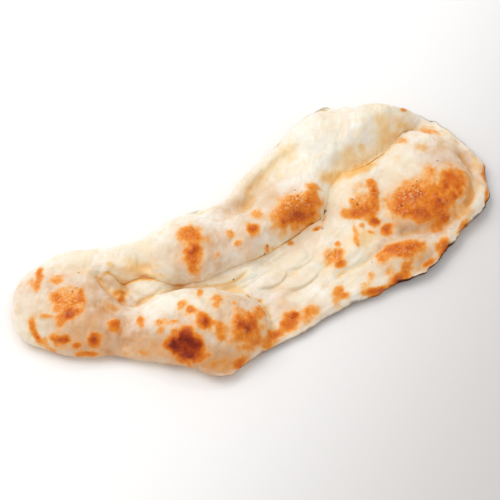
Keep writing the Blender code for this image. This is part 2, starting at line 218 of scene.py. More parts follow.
BACK_BUBBLES = {
    "neck_ridge": (-0.136, 0.013, 0.058, 0.029, -6.0, 0.030, 2.2),
    "left_dome": (-0.062, 0.006, 0.052, 0.040, -6.0, 0.039, 2.4),
    "saddle": (-0.012, 0.006, 0.046, 0.036, 8.0, 0.034, 2.4),
    "middle_dome": (0.040, 0.022, 0.050, 0.040, 20.0, 0.037, 2.4),
    "back_ridge": (0.022, 0.062, 0.060, 0.021, 33.0, 0.029, 2.2),
    "back_link": (-0.022, 0.034, 0.036, 0.020, 20.0, 0.028, 2.2),
    "bridge": (0.062, 0.052, 0.036, 0.034, 30.0, 0.035, 2.0),
    "back_dome": (0.116, 0.080, 0.074, 0.042, 4.0, 0.047, 2.2),
    "back_corner": (0.082, 0.086, 0.040, 0.032, 18.0, 0.044, 2.2),
}

# Rolled rim round the broad end: first and last outline point, height, width, inset.
RIM_SPAN = (20, 32)
RIM_HEIGHT = 0.0155
RIM_HALF_WIDTH = 0.0095
RIM_INSET = 0.0080
RIM_START_SLOPE = 0.6
RIM_START_FADE = 0.012
RIM_END_FADE = 0.020

# Creases and ridges: depth (minus) or height (plus), half width, points.
FOLDS = (
    (-0.0050, 0.0040, ((-0.145, -0.003), (-0.140, -0.014), (-0.134, -0.022), (-0.130, -0.030))),
    (-0.0050, 0.0080, ((-0.134, -0.012), (-0.127, -0.016))),
    (-0.0040, 0.0050, ((-0.128, -0.033), (-0.112, -0.034), (-0.098, -0.029), (-0.078, -0.029))),
    (-0.0030, 0.0045, ((-0.134, -0.050), (-0.137, -0.068))),
    (-0.0030, 0.0040, ((0.056, -0.052), (0.072, -0.050), (0.086, -0.047), (0.100, -0.040))),
    (-0.0040, 0.0045, ((0.124, -0.030), (0.142, -0.031), (0.160, -0.031), (0.178, -0.025),
                       (0.192, -0.014), (0.203, 0.000), (0.206, 0.016), (0.206, 0.034),
                       (0.200, 0.052), (0.188, 0.066), (0.176, 0.074))),
    (-0.0050, 0.0080, ((-0.020, 0.029), (-0.006, 0.032), (0.004, 0.040), (0.022, 0.054),
                       (0.042, 0.067), (0.056, 0.074))),
    (-0.0022, 0.0110, ((0.090, 0.062), (0.096, 0.084), (0.102, 0.100))),
    (0.0030, 0.0065, ((-0.022, -0.048), (0.004, -0.036), (0.030, -0.024))),
    (0.0030, 0.0065, ((0.002, -0.060), (0.028, -0.044), (0.054, -0.026))),
    (0.0026, 0.0070, ((0.040, -0.056), (0.064, -0.040), (0.086, -0.022))),
)

# Spacing along a fold, spacing along the finer lines below, and how those fade at their ends.
FOLD_STEP = 0.004
LINE_STEP = 0.002
LINE_FADE = (0.0, 0.18, 0.82, 1.0)

# Browned patches by kind: centre x, y, half length, half width in millimetres, turn in degrees,
# strength and grain in percent. They act in this order.
BROWNED_PATCHES = (
    ("orange", (
        (-199.4, 3.4, 6.9, 2.2, -88, 65, 60), (-195.6, -1.1, 6.5, 2.8, 84, 75, 70),
        (-178.2, -0.9, 6.6, 5.7, -70, 72, 50), (-183.9, -18.1, 6.2, 5.4, 6, 80, 70),
        (-179.8, -23.3, 8.6, 6.6, 86, 72, 90), (-172.9, -14.2, 7.6, 5, -18, 55, 90),
        (-163, -23.6, 8.7, 4.1, 86, 75, 50), (-179.5, -30.2, 9.2, 4.6, -17, 72, 70),
        (-181.2, -38.1, 8.2, 4.3, -6, 85, 30), (-183.8, -41.6, 4.2, 3.9, -32, 78, 30),
        (-170.6, -19.9, 9.3, 8.7, -37, 66, 95), (-169, -28.2, 7.6, 7.4, -64, 60, 90),
        (-207.8, -34.3, 6.5, 3.1, 88, 86, 30), (-206.5, -42.1, 5.3, 2.4, -59, 82, 30),
        (-201.2, -48.1, 6.8, 2.1, -36, 68, 40), (-192.3, -49.5, 4.8, 2.4, -23, 72, 50),
        (-59.7, 5.2, 11.4, 9.5, -64, 90, 30), (-60.4, 13.1, 4.5, 3.9, 83, 72, 30),
        (-25.3, 1.1, 4.4, 4, 62, 75, 40), (-21.9, -8.9, 4.8, 2.9, 14, 70, 50),
        (-41.5, -15.4, 2.8, 2.1, 10, 60, 30), (-44.9, -18.1, 2.1, 1.2, 4, 45, 30),
        (3.2, 15.6, 6.7, 5.8, 52, 62, 30), (36.9, 8.6, 22.2, 7.7, 12, 84, 40),
        (52.6, 15.2, 11.6, 9.2, 21, 84, 30), (25.4, 7.1, 10.9, 8.1, 4, 78, 50),
        (29.8, 16, 10.7, 8.2, 10, 74, 95), (41.4, 18, 11, 7, 12, 62, 90),
        (18.7, 9.4, 9.4, 7, 74, 62, 40), (57.5, 27.8, 8.4, 5.6, 4, 55, 30),
        (-119.7, -59.6, 5.7, 3.3, -89, 76, 40), (-105.9, -67.5, 4.2, 3.3, -39, 62, 90),
        (-99.7, -70.1, 4.8, 2.7, -44, 52, 95), (-94.2, -72, 4.5, 2.9, 1, 58, 80),
        (-106, -74.5, 4.2, 3, 3, 68, 80), (-93.5, -79.1, 7, 4.3, 9, 58, 95),
        (-82.3, -55.4, 4.6, 3.7, 21, 78, 60), (-85.7, -58.8, 4.3, 2.5, 58, 50, 80),
        (-77, -64.7, 5, 4.3, -22, 86, 30), (-80.3, -67.8, 4.6, 3, -32, 50, 90),
        (-58.8, -89.2, 7.5, 5.7, 86, 74, 20), (-65.7, -47, 9.2, 2.7, 72, 55, 30),
        (-54.4, -60.2, 9.5, 4.8, 67, 72, 85), (-55.8, -65.6, 3.5, 3.1, 58, 75, 50),
        (-40.1, -64.8, 3.9, 2.8, 63, 50, 80), (-41.6, -73.4, 3.4, 2.7, 55, 55, 50),
        (-40.7, -79.3, 10.6, 8.8, 24, 45, 60), (-21.2, -74.7, 8.2, 4.3, 59, 82, 20),
        (-31.1, -97.1, 12, 4.3, 13, 74, 20), (-22.4, -97.1, 5.4, 2.4, 18, 60, 20),
        (-75.2, -101.5, 6.2, 2, -8, 82, 20), (-79, -102.5, 5.1, 1.4, -8, 62, 20),
        (-20.3, -99.2, 8.4, 3, 16, 60, 20), (13.4, -87.1, 8.7, 4.1, 10, 50, 30),
        (21.8, -79.8, 7.7, 5.5, -13, 72, 30), (49.5, -71.6, 9.8, 5, 62, 66, 40),
        (55.1, -73.9, 4.7, 3.7, -4, 84, 30), (57.1, -34.5, 8.7, 7.7, -28, 80, 70),
        (63.4, -32, 4.9, 4.3, -58, 94, 30), (61, -42.3, 5.3, 3.7, 0, 90, 30),
        (58.1, -28.3, 7.9, 2.6, -5, 42, 80), (65.3, -23.2, 3, 2.8, -88, 65, 30),
        (83.2, -17.2, 8.7, 2.7, 83, 62, 40), (80.9, -28.2, 5.8, 2.5, -89, 52, 40),
        (90.2, -14.4, 3.7, 3, -15, 72, 30), (96.3, -22.5, 3.7, 2.2, -23, 62, 30),
        (76.7, -68.8, 8.1, 3.8, 28, 48, 70), (83.8, -61.5, 5.3, 3.7, 74, 52, 80),
        (100.8, -62.9, 6.7, 5, 24, 58, 60), (120.7, -61.3, 5.1, 3.2, 51, 62, 50),
        (111.5, 18.7, 9.2, 5, 82, 80, 50), (107.9, 5.9, 13.7, 5.2, 74, 92, 30),
        (99.3, -3, 8.7, 6.6, 17, 90, 40), (81.4, 1.4, 5.7, 4, -36, 74, 60),
        (102.5, 6.7, 7.8, 3.5, 54, 40, 30), (91.8, 2.7, 8.8, 6.3, -20, 60, 80),
        (130.5, -5.2, 16.4, 13.2, -27, 84, 60), (135.5, 1.9, 10.6, 7.5, -6, 76, 95),
        (151.5, -7.2, 21.7, 16.5, -12, 84, 30), (161.3, 12.6, 10.2, 8.2, 59, 60, 95),
        (179.9, 0.7, 18.5, 15.1, 30, 92, 20), (162, -18, 19.2, 12, 3, 85, 30),
        (143.7, -18, 23.5, 7.3, -20, 85, 30), (161.7, -26.8, 11.5, 5.3, 22, 78, 30),
        (152.1, -31.6, 4.6, 3.6, 77, 55, 30), (145.9, 0.8, 8.7, 7.4, -33, 55, 95),
    )),
    ("brown", (
        (-172.1, -35, 9.1, 4.9, 9, 88, 30), (-193, -32.9, 6, 2.3, -25, 68, 40),
        (-185.5, -53.4, 7.2, 3.2, -17, 95, 35), (-175.3, -59.8, 4.2, 1.8, -15, 82, 30),
        (-159.7, -59.7, 7, 4.2, -1, 90, 30), (-141.8, -53.3, 5.3, 4.7, 31, 80, 20),
        (-4.7, 0.6, 6.4, 5.5, 57, 88, 20), (37.2, 6, 13.5, 3.4, 12, 82, 20),
        (29.2, 4, 11.4, 3.2, 7, 40, 20), (26.9, -8, 4.1, 1.8, 9, 70, 50),
        (53.7, -2, 4.8, 2.3, 6, 75, 50), (-86.2, -83.7, 7.9, 4.9, -21, 86, 20),
        (-85.7, -81.6, 8.2, 4.4, -19, 75, 30), (-101.7, -86.3, 5.8, 4, -22, 80, 50),
        (-78.5, -98, 6.6, 3.4, -19, 62, 20), (-70, -77.3, 7.9, 6.9, -36, 93, 15),
        (-37.9, -87.5, 15.7, 12.8, 35, 66, 60), (-49.6, -110.2, 7.4, 3.3, 12, 70, 20),
        (21.2, -78.8, 3.8, 3.3, -10, 50, 40), (101.9, -14.2, 5.6, 4.6, -23, 88, 20),
        (111, -24.2, 6.2, 5.3, 34, 92, 30), (81.3, -75, 11.4, 3, 0, 92, 30),
        (93.6, -74.3, 7.3, 3, 7, 55, 30), (114.3, -64.5, 7.2, 4.9, 81, 68, 50),
        (106, -69.8, 8.7, 4.2, 15, 92, 30), (136.8, -61.3, 7.2, 3, 23, 70, 30),
        (132.4, -10.7, 15.6, 5.9, -25, 55, 30), (173.1, -7.2, 13.7, 5.1, -67, 45, 20),
        (185.8, 5.5, 9.8, 6.9, 24, 35, 20),
    )),
    ("red", (
        (-192.2, 9.7, 11.2, 3.6, 83, 80, 50), (-197.3, -53.6, 7.4, 1.3, -42, 65, 30),
        (-185.5, -47.9, 4.2, 1.6, -19, 55, 60), (-160.1, -63.5, 5.8, 3, -11, 65, 30),
        (-167.5, -67.1, 11.7, 1.7, -14, 80, 30), (-62.1, -13.7, 11.1, 8.5, 71, 86, 30),
        (-64.2, -18, 6.8, 5.9, -6, 70, 40), (-66.8, -20.7, 4.7, 1.3, -14, 60, 70),
        (-2, -2.4, 2.8, 2.3, 44, 50, 30), (-59.3, -93.7, 4.1, 2.4, -9, 60, 30),
        (-38.6, -102, 7.1, 2.2, 12, 62, 20), (4, -82.9, 9.9, 7.5, 44, 95, 35),
        (-2.5, -83.7, 4.7, 3.8, -16, 72, 30), (-11.1, -91.8, 9.2, 4.5, 26, 84, 30),
        (88.9, -0.9, 9.9, 5.3, -11, 94, 50), (88.5, 6.9, 5.2, 2.7, -81, 62, 50),
        (98.4, 8.7, 12.2, 6.2, 51, 58, 95), (95.6, 19.8, 10.2, 5.5, 57, 42, 95),
    )),
    ("dark", (
        (-184.7, -53.7, 4.2, 1.9, -19, 60, 30), (-57.9, -7.9, 4.7, 3.9, -7, 62, 30),
        (-63.8, -10, 3, 2, -13, 60, 40), (-88.4, -90.9, 11.6, 7.6, -21, 100, 35),
        (-95.1, -87.4, 7.1, 5.9, -23, 100, 50), (-81.5, -93.9, 6.9, 5.7, -1, 95, 20),
        (-88.4, -85.1, 9.1, 5.4, -19, 90, 40), (-89.1, -95.9, 9.2, 3.6, -21, 95, 30),
        (-36, -86.8, 9.8, 8.1, 28, 62, 30), (8.5, -79.7, 4.7, 3.2, 54, 62, 30),
    )),
    ("faint", (
        (-204.5, 7.1, 8.8, 3, -52, 45, 50), (-202.3, -3.3, 17.9, 3, -33, 35, 30),
        (-169.1, -36.6, 11.6, 11.5, -86, 50, 30), (-174.4, -21.9, 11.6, 10.7, -79, 60, 70),
        (-203.6, -29, 5.9, 3.4, -14, 40, 30), (-170.9, -51.4, 4.9, 4.4, -7, 40, 30),
        (-184.7, -58.6, 13.6, 2.1, -25, 55, 30), (-164.4, -49, 21.4, 15.6, -13, 36, 20),
        (-175.5, -57.8, 23.2, 7.4, -19, 42, 20), (-195.8, -17, 17.1, 12.1, 83, 18, 20),
        (-158, 2.2, 18.2, 5.2, -7, 34, 20), (-132.5, -4.6, 7.1, 4, -6, 26, 20),
        (-138.5, -14.6, 11, 6.9, 57, 20, 20), (-72, 5.8, 4.3, 3, -23, 35, 30),
        (-74.5, -10.3, 8.8, 5.1, 76, 30, 30), (-23, 6.3, 3.5, 3.2, -22, 50, 60),
        (-24.8, -13, 6.1, 2.1, -6, 50, 50), (-18.2, -11.8, 11.3, 5.8, -6, 34, 20),
        (-35.2, -15, 4, 2.1, 3, 36, 50), (-9, 4.8, 6.2, 4.3, 73, 45, 30),
        (-19.6, 15.2, 6.4, 3.5, 88, 30, 30), (23.4, -0.2, 15.3, 2.6, 7, 45, 20),
        (-121.4, -72.8, 6.1, 2.5, -28, 38, 90), (-115.7, -77.5, 4.3, 3.5, -37, 52, 60),
        (-48.2, -56.1, 6.5, 5.6, 19, 45, 60), (-46, -67.4, 7.5, 3.7, -7, 32, 90),
        (-46.4, -105.1, 9.4, 4.9, 2, 55, 20), (-114.1, -78.2, 17.1, 6.1, -30, 25, 20),
        (-64.1, -101.4, 8.2, 4.7, -10, 20, 20), (-23.3, -90.9, 10.1, 6, 39, 35, 20),
        (-72.6, -92.8, 24.6, 7.9, -16, 20, 20), (-33.7, -76, 14.2, 9.6, 13, 30, 20),
        (16.8, -84.6, 9.5, 4.3, 5, 42, 30), (3.9, -65.5, 3.8, 3.6, -16, 45, 30),
        (42.2, -60.6, 4.7, 3.7, -10, 42, 30), (54.7, -33.6, 7.3, 6.4, -20, 50, 95),
        (50.9, -37, 4.7, 3.5, -76, 42, 90), (69.7, -31.9, 4.4, 3.8, -47, 32, 30),
        (118.1, -20, 6.4, 3.9, 68, 45, 30), (113.4, -9.2, 5.2, 4.6, 36, 36, 80),
        (79.8, 8.2, 4.9, 3.3, -41, 42, 60),
    )),
    ("golden", (
        (-139.7, -36.8, 7.4, 3.7, -33, 70, 20), (-131.7, 2.6, 4.7, 2.4, -35, 50, 30),
        (-130.1, -16.7, 8.2, 5.3, 71, 62, 20), (-110.2, -5.3, 16.2, 7.5, -11, 52, 20),
        (-139.5, -8.2, 6.1, 4.2, -43, 40, 20), (-126.6, -3.5, 9.8, 3.3, -25, 30, 20),
        (-94.2, -10.2, 5.5, 2.8, -34, 35, 30), (-100.9, -13.1, 14.3, 1.9, -26, 55, 20),
        (-45.9, -2.8, 7.1, 4.2, 71, 50, 30), (18.8, -3.5, 5.2, 3.7, 30, 45, 20),
        (-59.7, -83.2, 3.7, 2.5, -8, 60, 20), (-70.9, -86.7, 6.5, 3.9, -13, 30, 20),
        (-25.4, -83.1, 13.7, 7.8, 57, 50, 20), (-70.5, -105.7, 4.9, 2.2, -13, 50, 20),
        (-76.7, -106.2, 5, 1.6, -18, 50, 20), (-91.6, -97.9, 11.9, 1.2, -25, 40, 20),
        (140.1, -56.8, 7.9, 4, -22, 35, 20), (186.3, -20, 9.8, 4.3, 48, 62, 20),
    )),
    ("toasted", (
        (-140.5, -58.1, 5.5, 4.1, -16, 55, 20), (-36.1, -93.2, 19.5, 12.7, 12, 50, 20),
        (-60.6, -109.8, 20, 4.9, -7, 55, 20), (-123.8, -80, 24.3, 3.7, -27, 55, 20),
        (-107.2, -89.2, 13.5, 2.7, -24, 50, 20),
    )),
    ("scorched", (
        (3.7, -11.3, 2.6, 2, 18, 60, 90), (7.6, -10.7, 3.1, 0.9, 10, 45, 90),
        (62.9, 6.5, 5.9, 1.8, 59, 60, 80),
    )),
    ("pink", (
        (-173.1, 3.4, 3.9, 3.3, -36, 50, 50), (-133.5, -34.6, 4.7, 3, 62, 40, 30),
        (-119.4, -3.9, 6.7, 2.6, -18, 35, 30), (-101.4, -5.9, 2.8, 2.1, -46, 30, 30),
        (39.6, 27.2, 7.9, 6, 39, 50, 90), (9, -72.2, 4.8, 2.8, 29, 45, 60),
        (98.7, 15.2, 13.3, 7.2, 54, 52, 70),
    )),
    ("pale", ((180.8, -17.1, 5.4, 2, 10, 50, 50),)),
    ("orange", (
        (142.2, 0.5, 20.2, 12, -11, 70, 50), (151.6, -15.9, 26.1, 11, -10, 74, 30),
    )),
    ("golden", (
        (196.2, -6.3, 11.7, 5.5, 57, 45, 20),
    )),
    ("pale", ((145, -13.5, 12.2, 4.7, -22, 12, 30),)),
    ("orange", (
        (117.6, -47.1, 20.1, 8.4, -8, 92, 35), (102.2, -49.6, 7.9, 5.9, 15, 80, 40),
        (116.1, -51.5, 13.2, 4.9, -10, 72, 60), (153.5, -50.3, 9.8, 6.3, 45, 82, 30),
        (178.2, -35.9, 10.3, 2.8, 35, 72, 30), (184.2, 70, 11.3, 9.8, -61, 54, 30),
        (167.5, 93, 4.6, 2.4, 41, 80, 30), (122.5, -46.4, 21.4, 7.9, -5, 40, 20),
        (193.1, -5.1, 11.7, 5.4, 54, 42, 20),
    )),
    ("brown", (
        (106.6, -42.4, 8.3, 2.8, 0, 60, 20), (154, -55.5, 7.3, 4.3, 30, 84, 20),
        (220, 14.9, 11.7, 3.2, 67, 80, 20), (211.9, -9.7, 9, 2.8, 63, 70, 20),
    )),
    ("red", (
        (154.4, 60.8, 6.5, 5.3, -39, 45, 40),
    )),
    ("faint", (
        (189.8, -24.1, 6.7, 4, 23, 48, 30), (142.4, 44.1, 6.6, 4.3, 78, 45, 40),
        (208.4, 53.9, 5.4, 3.9, 45, 45, 30), (140.2, -30.5, 13.1, 3.7, 7, 25, 50),
        (109.7, -57.4, 10.6, 3.8, 3, 30, 60), (71.6, -46.9, 5.4, 2.3, 5, 20, 40),
        (133.8, 38.4, 11.8, 7.9, 76, 18, 30), (157.1, 81.8, 18.4, 3.9, 22, 38, 20),
        (82.2, 32.3, 7.3, 5, -69, 40, 20), (113.1, -31.8, 9.3, 5.6, 12, 30, 20),
        (-18.6, -16.4, 19.9, 3.4, 14, 30, 20), (23.9, -47.4, 8, 4.7, 2, 30, 30),
        (76.4, -11.7, 10.5, 6, -27, 20, 20), (32.1, -72.5, 8.6, 5.5, -15, 18, 20),
    )),
    ("golden", (
        (132.4, -50.4, 6.1, 5, 17, 60, 20), (167.7, 45.8, 6.8, 5.9, -3, 55, 20),
        (192.3, 42.2, 14.1, 11.5, -27, 34, 20), (204.5, 66.2, 8.7, 8.3, -43, 36, 20),
        (214.5, 22.3, 10.6, 4.9, 78, 50, 20), (139.7, 76, 12.3, 8.2, 30, 50, 20),
        (104.1, 53.8, 16.9, 8, -6, 46, 20), (144.2, 68.2, 18.2, 4.3, 23, 58, 20),
        (162.3, 79.5, 10.8, 2.3, 18, 55, 20), (83.4, 41.4, 19.4, 6.3, 16, 66, 20),
        (108.3, 42.4, 18.5, 7.1, 22, 72, 20), (90.4, -24.8, 15.7, 9.2, 11, 52, 20),
        (48.1, 78.1, 11.4, 5.9, 5, 42, 20), (13.2, 52.9, 19.3, 3.4, 35, 40, 20),
        (58.5, 51.7, 11.5, 8.3, 30, 25, 20), (23.5, 37.7, 11, 5, 82, 28, 20),
        (-10.8, -78.9, 7.1, 4.3, 3, 25, 20), (124.6, -61, 9.2, 3.9, 12, 25, 20),
        (-116.4, -79.7, 24, 5.8, -26, 34, 20), (-68.9, -100.3, 24.6, 7.1, -14, 32, 20),
        (-60.2, -108.3, 24.9, 4.7, -6, 50, 20), (-170.2, -48.4, 16.4, 10.7, -12, 34, 20),
        (-30.9, -99.4, 18.5, 4.4, 14, 34, 20), (183.6, 14.9, 17, 14, 61, 28, 20),
        (206.9, -1, 11.7, 5.4, 63, 42, 20),
    )),
    ("pink", (
        (-12.8, -11.6, 9.9, 4.7, 2, 40, 20),
    )),
    # Glaze patches: toasted glaze, and painted shade on the lower sides of the rolls and the knob.
    ("glaze", (
        (-197.3, -0.3, 22.4, 18.6, -23, 47, 0), (-165.2, -14, 23.3, 18.3, -15, 44, 0),
        (-149.8, -33.1, 21.5, 18, 73, 65, 0), (-165, -51.3, 19.8, 16.4, -12, 65, 0),
        (-149.3, -64.9, 21.5, 10.2, -12, 81, 0), (-184.6, -37.9, 21.9, 14.6, -21, 36, 0),
        (-182.1, -58.9, 22, 5.4, -22, 39, 0), (-123.9, -75, 26.7, 8, -31, 55, 0),
        (-121.2, -65.7, 20, 11, -37, 29, 0), (-90, -78.7, 23.2, 15.4, -21, 55, 0),
        (-66.3, -91.6, 21.3, 17.3, -8, 39, 0), (-96.5, -94.3, 28.5, 3.9, -23, 65, 0),
        (-68.4, -107.3, 28, 6.2, -11, 81, 0), (-40.2, -77.5, 19.7, 16.3, 27, 47, 0),
        (-35.9, -98.4, 19.6, 8.6, 9, 44, 0), (-19.9, -97.7, 11.5, 5.3, 22, 39, 0),
        (-47, -61.5, 16.9, 12, 0, 23, 0), (2.3, -70.9, 11.9, 9.5, -22, 26, 0),
        (-60.8, -5.5, 20.5, 19.7, 3, 52, 0), (-40.8, -3.4, 17.4, 13.4, 60, 44, 0),
        (-10.6, 2, 18.5, 16.3, 36, 40, 0), (-3.9, -49.6, 22.5, 11.3, -15, 20, 0),
        (-31.3, -67.4, 27.7, 14.1, 14, 20, 0), (-170.2, -48.4, 21.4, 13.9, -14, 22, 0),
        (-156.5, -65.6, 23, 7, -12, 26, 0), (-62.8, -108.4, 28.2, 6.5, -8, 65, 0),
        (161.8, -18.8, 23.5, 10.4, 3, 22, 0), (150.4, 3.1, 21, 13.6, 3, 22, 0),
        (111.4, -31.3, 12.4, 11.5, 5, 25, 0), (-51.9, -112.3, 16.9, 5.9, 7, 50, 0),
        (-153.3, -66.4, 14.8, 5.3, -12, 50, 0), (-28.7, -91.7, 18.7, 11.3, 18, 25, 0),
        (-158.2, -48, 13.1, 10, -12, 22, 0), (-68.3, -109.5, 24.8, 5.3, -12, 50, 0),
        (-68.9, -100.3, 23, 5.3, -14, 30, 0), (-117.5, -82.8, 25.7, 4, -26, 40, 0),
        (-177.3, -49.7, 19.9, 11.5, -16, 25, 0), (185, 22.8, 24.5, 15.9, 55, 22, 0),
        (154.7, -11.8, 35.2, 22, -3, 20, 0), (138.5, -61.8, 12.8, 6.9, 16, 35, 0),
        (-20.7, -14.1, 14.3, 4.7, 8, 14, 0), (-90.2, -8.9, 26.5, 11.6, -26, 21, 0),
        (-49.5, -21.8, 22.5, 6.1, -3, 26, 0), (-14.5, 34, 23.2, 10.5, 25, 44, 0),
        (19, 28.9, 26.5, 14.7, -87, 34, 0), (187.5, 28.5, 28.3, 17.4, 49, 44, 0),
        (168.8, 38.9, 19.1, 17.1, 23, 26, 0), (193.7, -0.5, 19.6, 9.9, 62, 52, 0),
        (133.1, -22.8, 30.5, 8, -9, 68, 0), (155.3, -30.6, 15.1, 9.8, 15, 36, 0),
        (-144.6, -47.4, 18.4, 16.9, 20, 45, 0), (-116.8, -80.8, 29.3, 6.8, -27, 55, 0),
        (-170.1, -64.8, 24.8, 4.7, -14, 50, 0), (-69.2, -101.5, 32.7, 5.7, -16, 45, 0),
        (128.1, -41.3, 27, 17, 0, 44, 0), (104.6, -56, 17.1, 8.3, 10, 29, 0),
        (136.8, -61.3, 13.1, 8.2, 16, 65, 0), (128.9, 3.6, 23.4, 22.2, -83, 26, 0),
        (213.3, 29, 21.3, 11.2, 86, 29, 0), (218.1, 4.8, 11.7, 5.9, 65, 47, 0),
        (22.4, -80.9, 17.4, 9.8, 6, 26, 0), (87.3, -59.4, 14.6, 9.2, 20, 18, 0),
        (34.3, 12.5, 26.9, 20.5, -1, 26, 0), (-125.4, -34.6, 14.5, 9.8, 71, 29, 0),
        (-209.7, -14.1, 19.6, 9.2, 84, 18, 0),
    )),
)

# Black char specks: centre x, y, radius.
CHAR_SPECKS = (
    (-0.1594, 0.0035, 0.00083), (-0.1647, -0.0136, 0.00075), (-0.1684, -0.0169, 0.00090),
    (-0.0322, -0.0323, 0.00105), (0.0417, 0.0204, 0.00090), (0.0461, 0.0243, 0.00075),
    (0.0408, 0.0280, 0.00060), (0.0896, 0.0101, 0.00105), (0.0920, 0.0046, 0.00098),
    (0.1445, 0.0061, 0.00090), (0.1488, 0.0091, 0.00083), (0.1756, 0.0266, 0.00105),
    (0.1946, 0.0846, 0.00090), (0.0578, -0.0039, 0.00098), (0.0526, -0.0026, 0.00083),
    (0.0656, 0.0121, 0.00113), (0.0607, 0.0052, 0.00060), (0.1302, -0.0060, 0.00060),
    (0.0893, -0.0487, 0.00045), (0.0055, -0.0807, 0.00068), (0.0039, -0.0104, 0.00060),
    (0.0013, -0.0136, 0.00060), (0.0754, -0.0091, 0.00038),
)

# What each kind of patch does: bake, dark, blush, gold. A glaze patch is a wash of toasted
# glaze that is also painted shade on the lower sides, and a pale patch takes away some of the bake of the
# patches before it.
PATCH_KINDS = {
    "orange": (1.0, 0.12, 0.0, 0.0),
    "brown": (1.0, 0.50, 0.0, 0.0),
    "red": (0.9, 0.40, 0.8, 0.0),
    "dark": (1.0, 1.0, 0.0, 0.0),
    "faint": (0.6, 0.0, 0.25, 0.0),
    "golden": (0.22, 0.0, 0.0, 0.85),
    "toasted": (0.7, 0.30, 0.0, 0.5),
    "scorched": (0.8, 0.6, 0.5, 0.0),
    "pink": (0.35, 0.0, 1.0, 0.0),
}

# Patches, in shares of their half sizes: how far they are worked out, where they fade,
# and the lumps that make their outlines ragged: share, size, seed.
PATCH_SPAN = 2.6
PATCH_FADE = (0.25, 1.75)
WASH_FADE = (0.0, 1.9)
HALO_FADE = (0.80, 2.20)
PATCH_RAGGEDNESS = ((0.26, 0.0075, 3), (0.16, 0.0034, 4))
SPECK_FADE = (0.35, 1.15)
# Pale toasted halo round each patch, as a share of its strength.
HALO = 0.34
# What a full wash of toasted glaze and painted shade leaves of the red, green and blue below it.
GLAZE_AND_SHADE_TINT = (0.66, 0.36, 0.17)
BROWNED_FIELDS = ("bake", "dark", "blush", "gold", "glaze", "grain")
FIELD_NAMES = (*BROWNED_FIELDS, "speck", "cavity_shade", "under", "char_and_shade")

# Charring and painted shade of the outer edge, darkest along the front and right: place along OUTLINE,
# strength, share of the widths below.
EDGE_CHAR_AND_SHADE = (
    (0.0, 0.0, 1.0), (9.0, 0.0, 1.0), (10.5, 0.25, 0.6), (12.0, 0.45, 0.6), (13.0, 0.75, 0.7),
    (17.0, 0.75, 0.8), (18.2, 0.8, 1.0), (18.8, 1.0, 1.4), (21.6, 1.0, 1.5), (22.2, 0.65, 1.0),
    (23.0, 0.8, 1.0), (23.6, 1.0, 1.4), (25.2, 1.0, 1.3), (26.0, 0.7, 1.0), (27.4, 0.85, 1.3),
    (28.4, 0.5, 0.9), (29.5, 0.45, 0.8), (31.2, 0.5, 0.8), (32.5, 0.1, 0.6), (34.0, 0.0, 0.6),
    (56.0, 0.0, 1.0),
)
EDGE_CHAR_AND_SHADE_TOP = 0.0014
EDGE_CHAR_AND_SHADE_BASE = 0.0080
EDGE_CHAR_AND_SHADE_FADE = (-0.19, -0.15)
EDGE_CHAR_AND_SHADE_CORE = 0.3
EDGE_CHAR_AND_SHADE_MEAN = 0.75
EDGE_CHAR_AND_SHADE_RANGE = (0.05, 1.6)
EDGE_CHAR_AND_SHADE_RAGGEDNESS = ((0.8, 0.008, 32), (0.5, 0.0030, 33))

# Browned edge of the folded lip: stretch in x and band across it, as fade in and fade out,
# then the lumps that break it into flecks, and how they fade in.
LIP_EDGE_SPAN = (-0.004, 0.004, 0.064, 0.070)
LIP_EDGE_BAND = (-0.0006, 0.0002, 0.0008, 0.0018)
LIP_FLECKS = ((1.0, 0.0030, 31), (0.6, 0.0080, 34))
LIP_FLECK_FADE = (0.05, 0.45)

# Fillet under the folded lip: rise, half width, stretch in x, and fade past the lip line.
LIP_FILLET = 0.0024
LIP_FILLET_WIDTH = 0.0030
LIP_FILLET_SPAN = (-0.135, -0.120, 0.050, 0.066)
LIP_FILLET_FADE = (-0.0002, 0.0014)

# Small relief of the top: lumps as height, size, seed, and wrinkles as height, length, width,
# turn, seed. The sheet is what lies lower than the second height of its span.
SKIN_LUMPS = ((0.0014, 0.030, 11), (0.0012, 0.014, 12), (0.00065, 0.0080, 13), (0.00030, 0.0044, 18))
SHEET_SPAN = (0.013, 0.022)
SHEET_WRINKLES = (0.0017, 0.024, 0.0055, 28.0, 14)
BUBBLE_WRINKLES = (0.0012, 0.016, 0.0042, 62.0, 17)
BUBBLE_FACETS = (0.0016, 0.020, 19)
WRINKLE_MEAN = 0.25
BLISTER_SWELL = 0.0003
BLISTER_RANGE = (-0.2, 1.0)
BLISTERS = (0.0007, 0.0036, 15)
BLISTER_GRAIN = (0.0005, 0.0024, 16)
RELIEF_FADE = (0.0, 0.005)

# Bumps of the outer edge, and relief of the underside: height, size, seed.
EDGE_BUMPS = ((0.0024, 0.012, 41), (0.0014, 0.0055, 42))
EDGE_BUMP_SPAN = (0.02, 0.12)
EDGE_BUMP_LEAST = 0.35
BASE_HOLLOWS = (0.0009, 0.022, 21)
BASE_PITS = (0.0005, 0.007, 22)
BASE_RELIEF_FADE = (0.001, 0.010)

# Hollows of the surface, which take painted shade and butter: rounds of averaging before and after, and
# the full depth.
CAVITY_REACH = 40
CAVITY_BLUR = 6
CAVITY_DEPTH = 0.0016
# Offset of the noise for each step of a seed.
SEED_SHIFT = (17.3, 5.1, 9.7)

# Margin round each half of the bake layout.
UV_MARGIN = 0.01

# Noises of the materials: scale, detail, roughness, warp.
NOISES = {
    "broad": (24.0, 2.0, 0.5, 0.0),
    "mottle": (95.0, 3.0, 0.6, 0.0),
    "rosy": (60.0, 2.0, 0.5, 0.5),
    "milky": (120.0, 2.0, 0.5, 0.0),
    "fine": (420.0, 3.0, 0.65, 0.0),
    "crumbs": (900.0, 2.0, 0.6, 0.0),
    "sole": (52.0, 3.0, 0.55, 0.0),
    "shine": (60.0, 2.0, 0.5, 0.0),
    "paper": (3.0, 2.0, 0.5, 0.0),
}

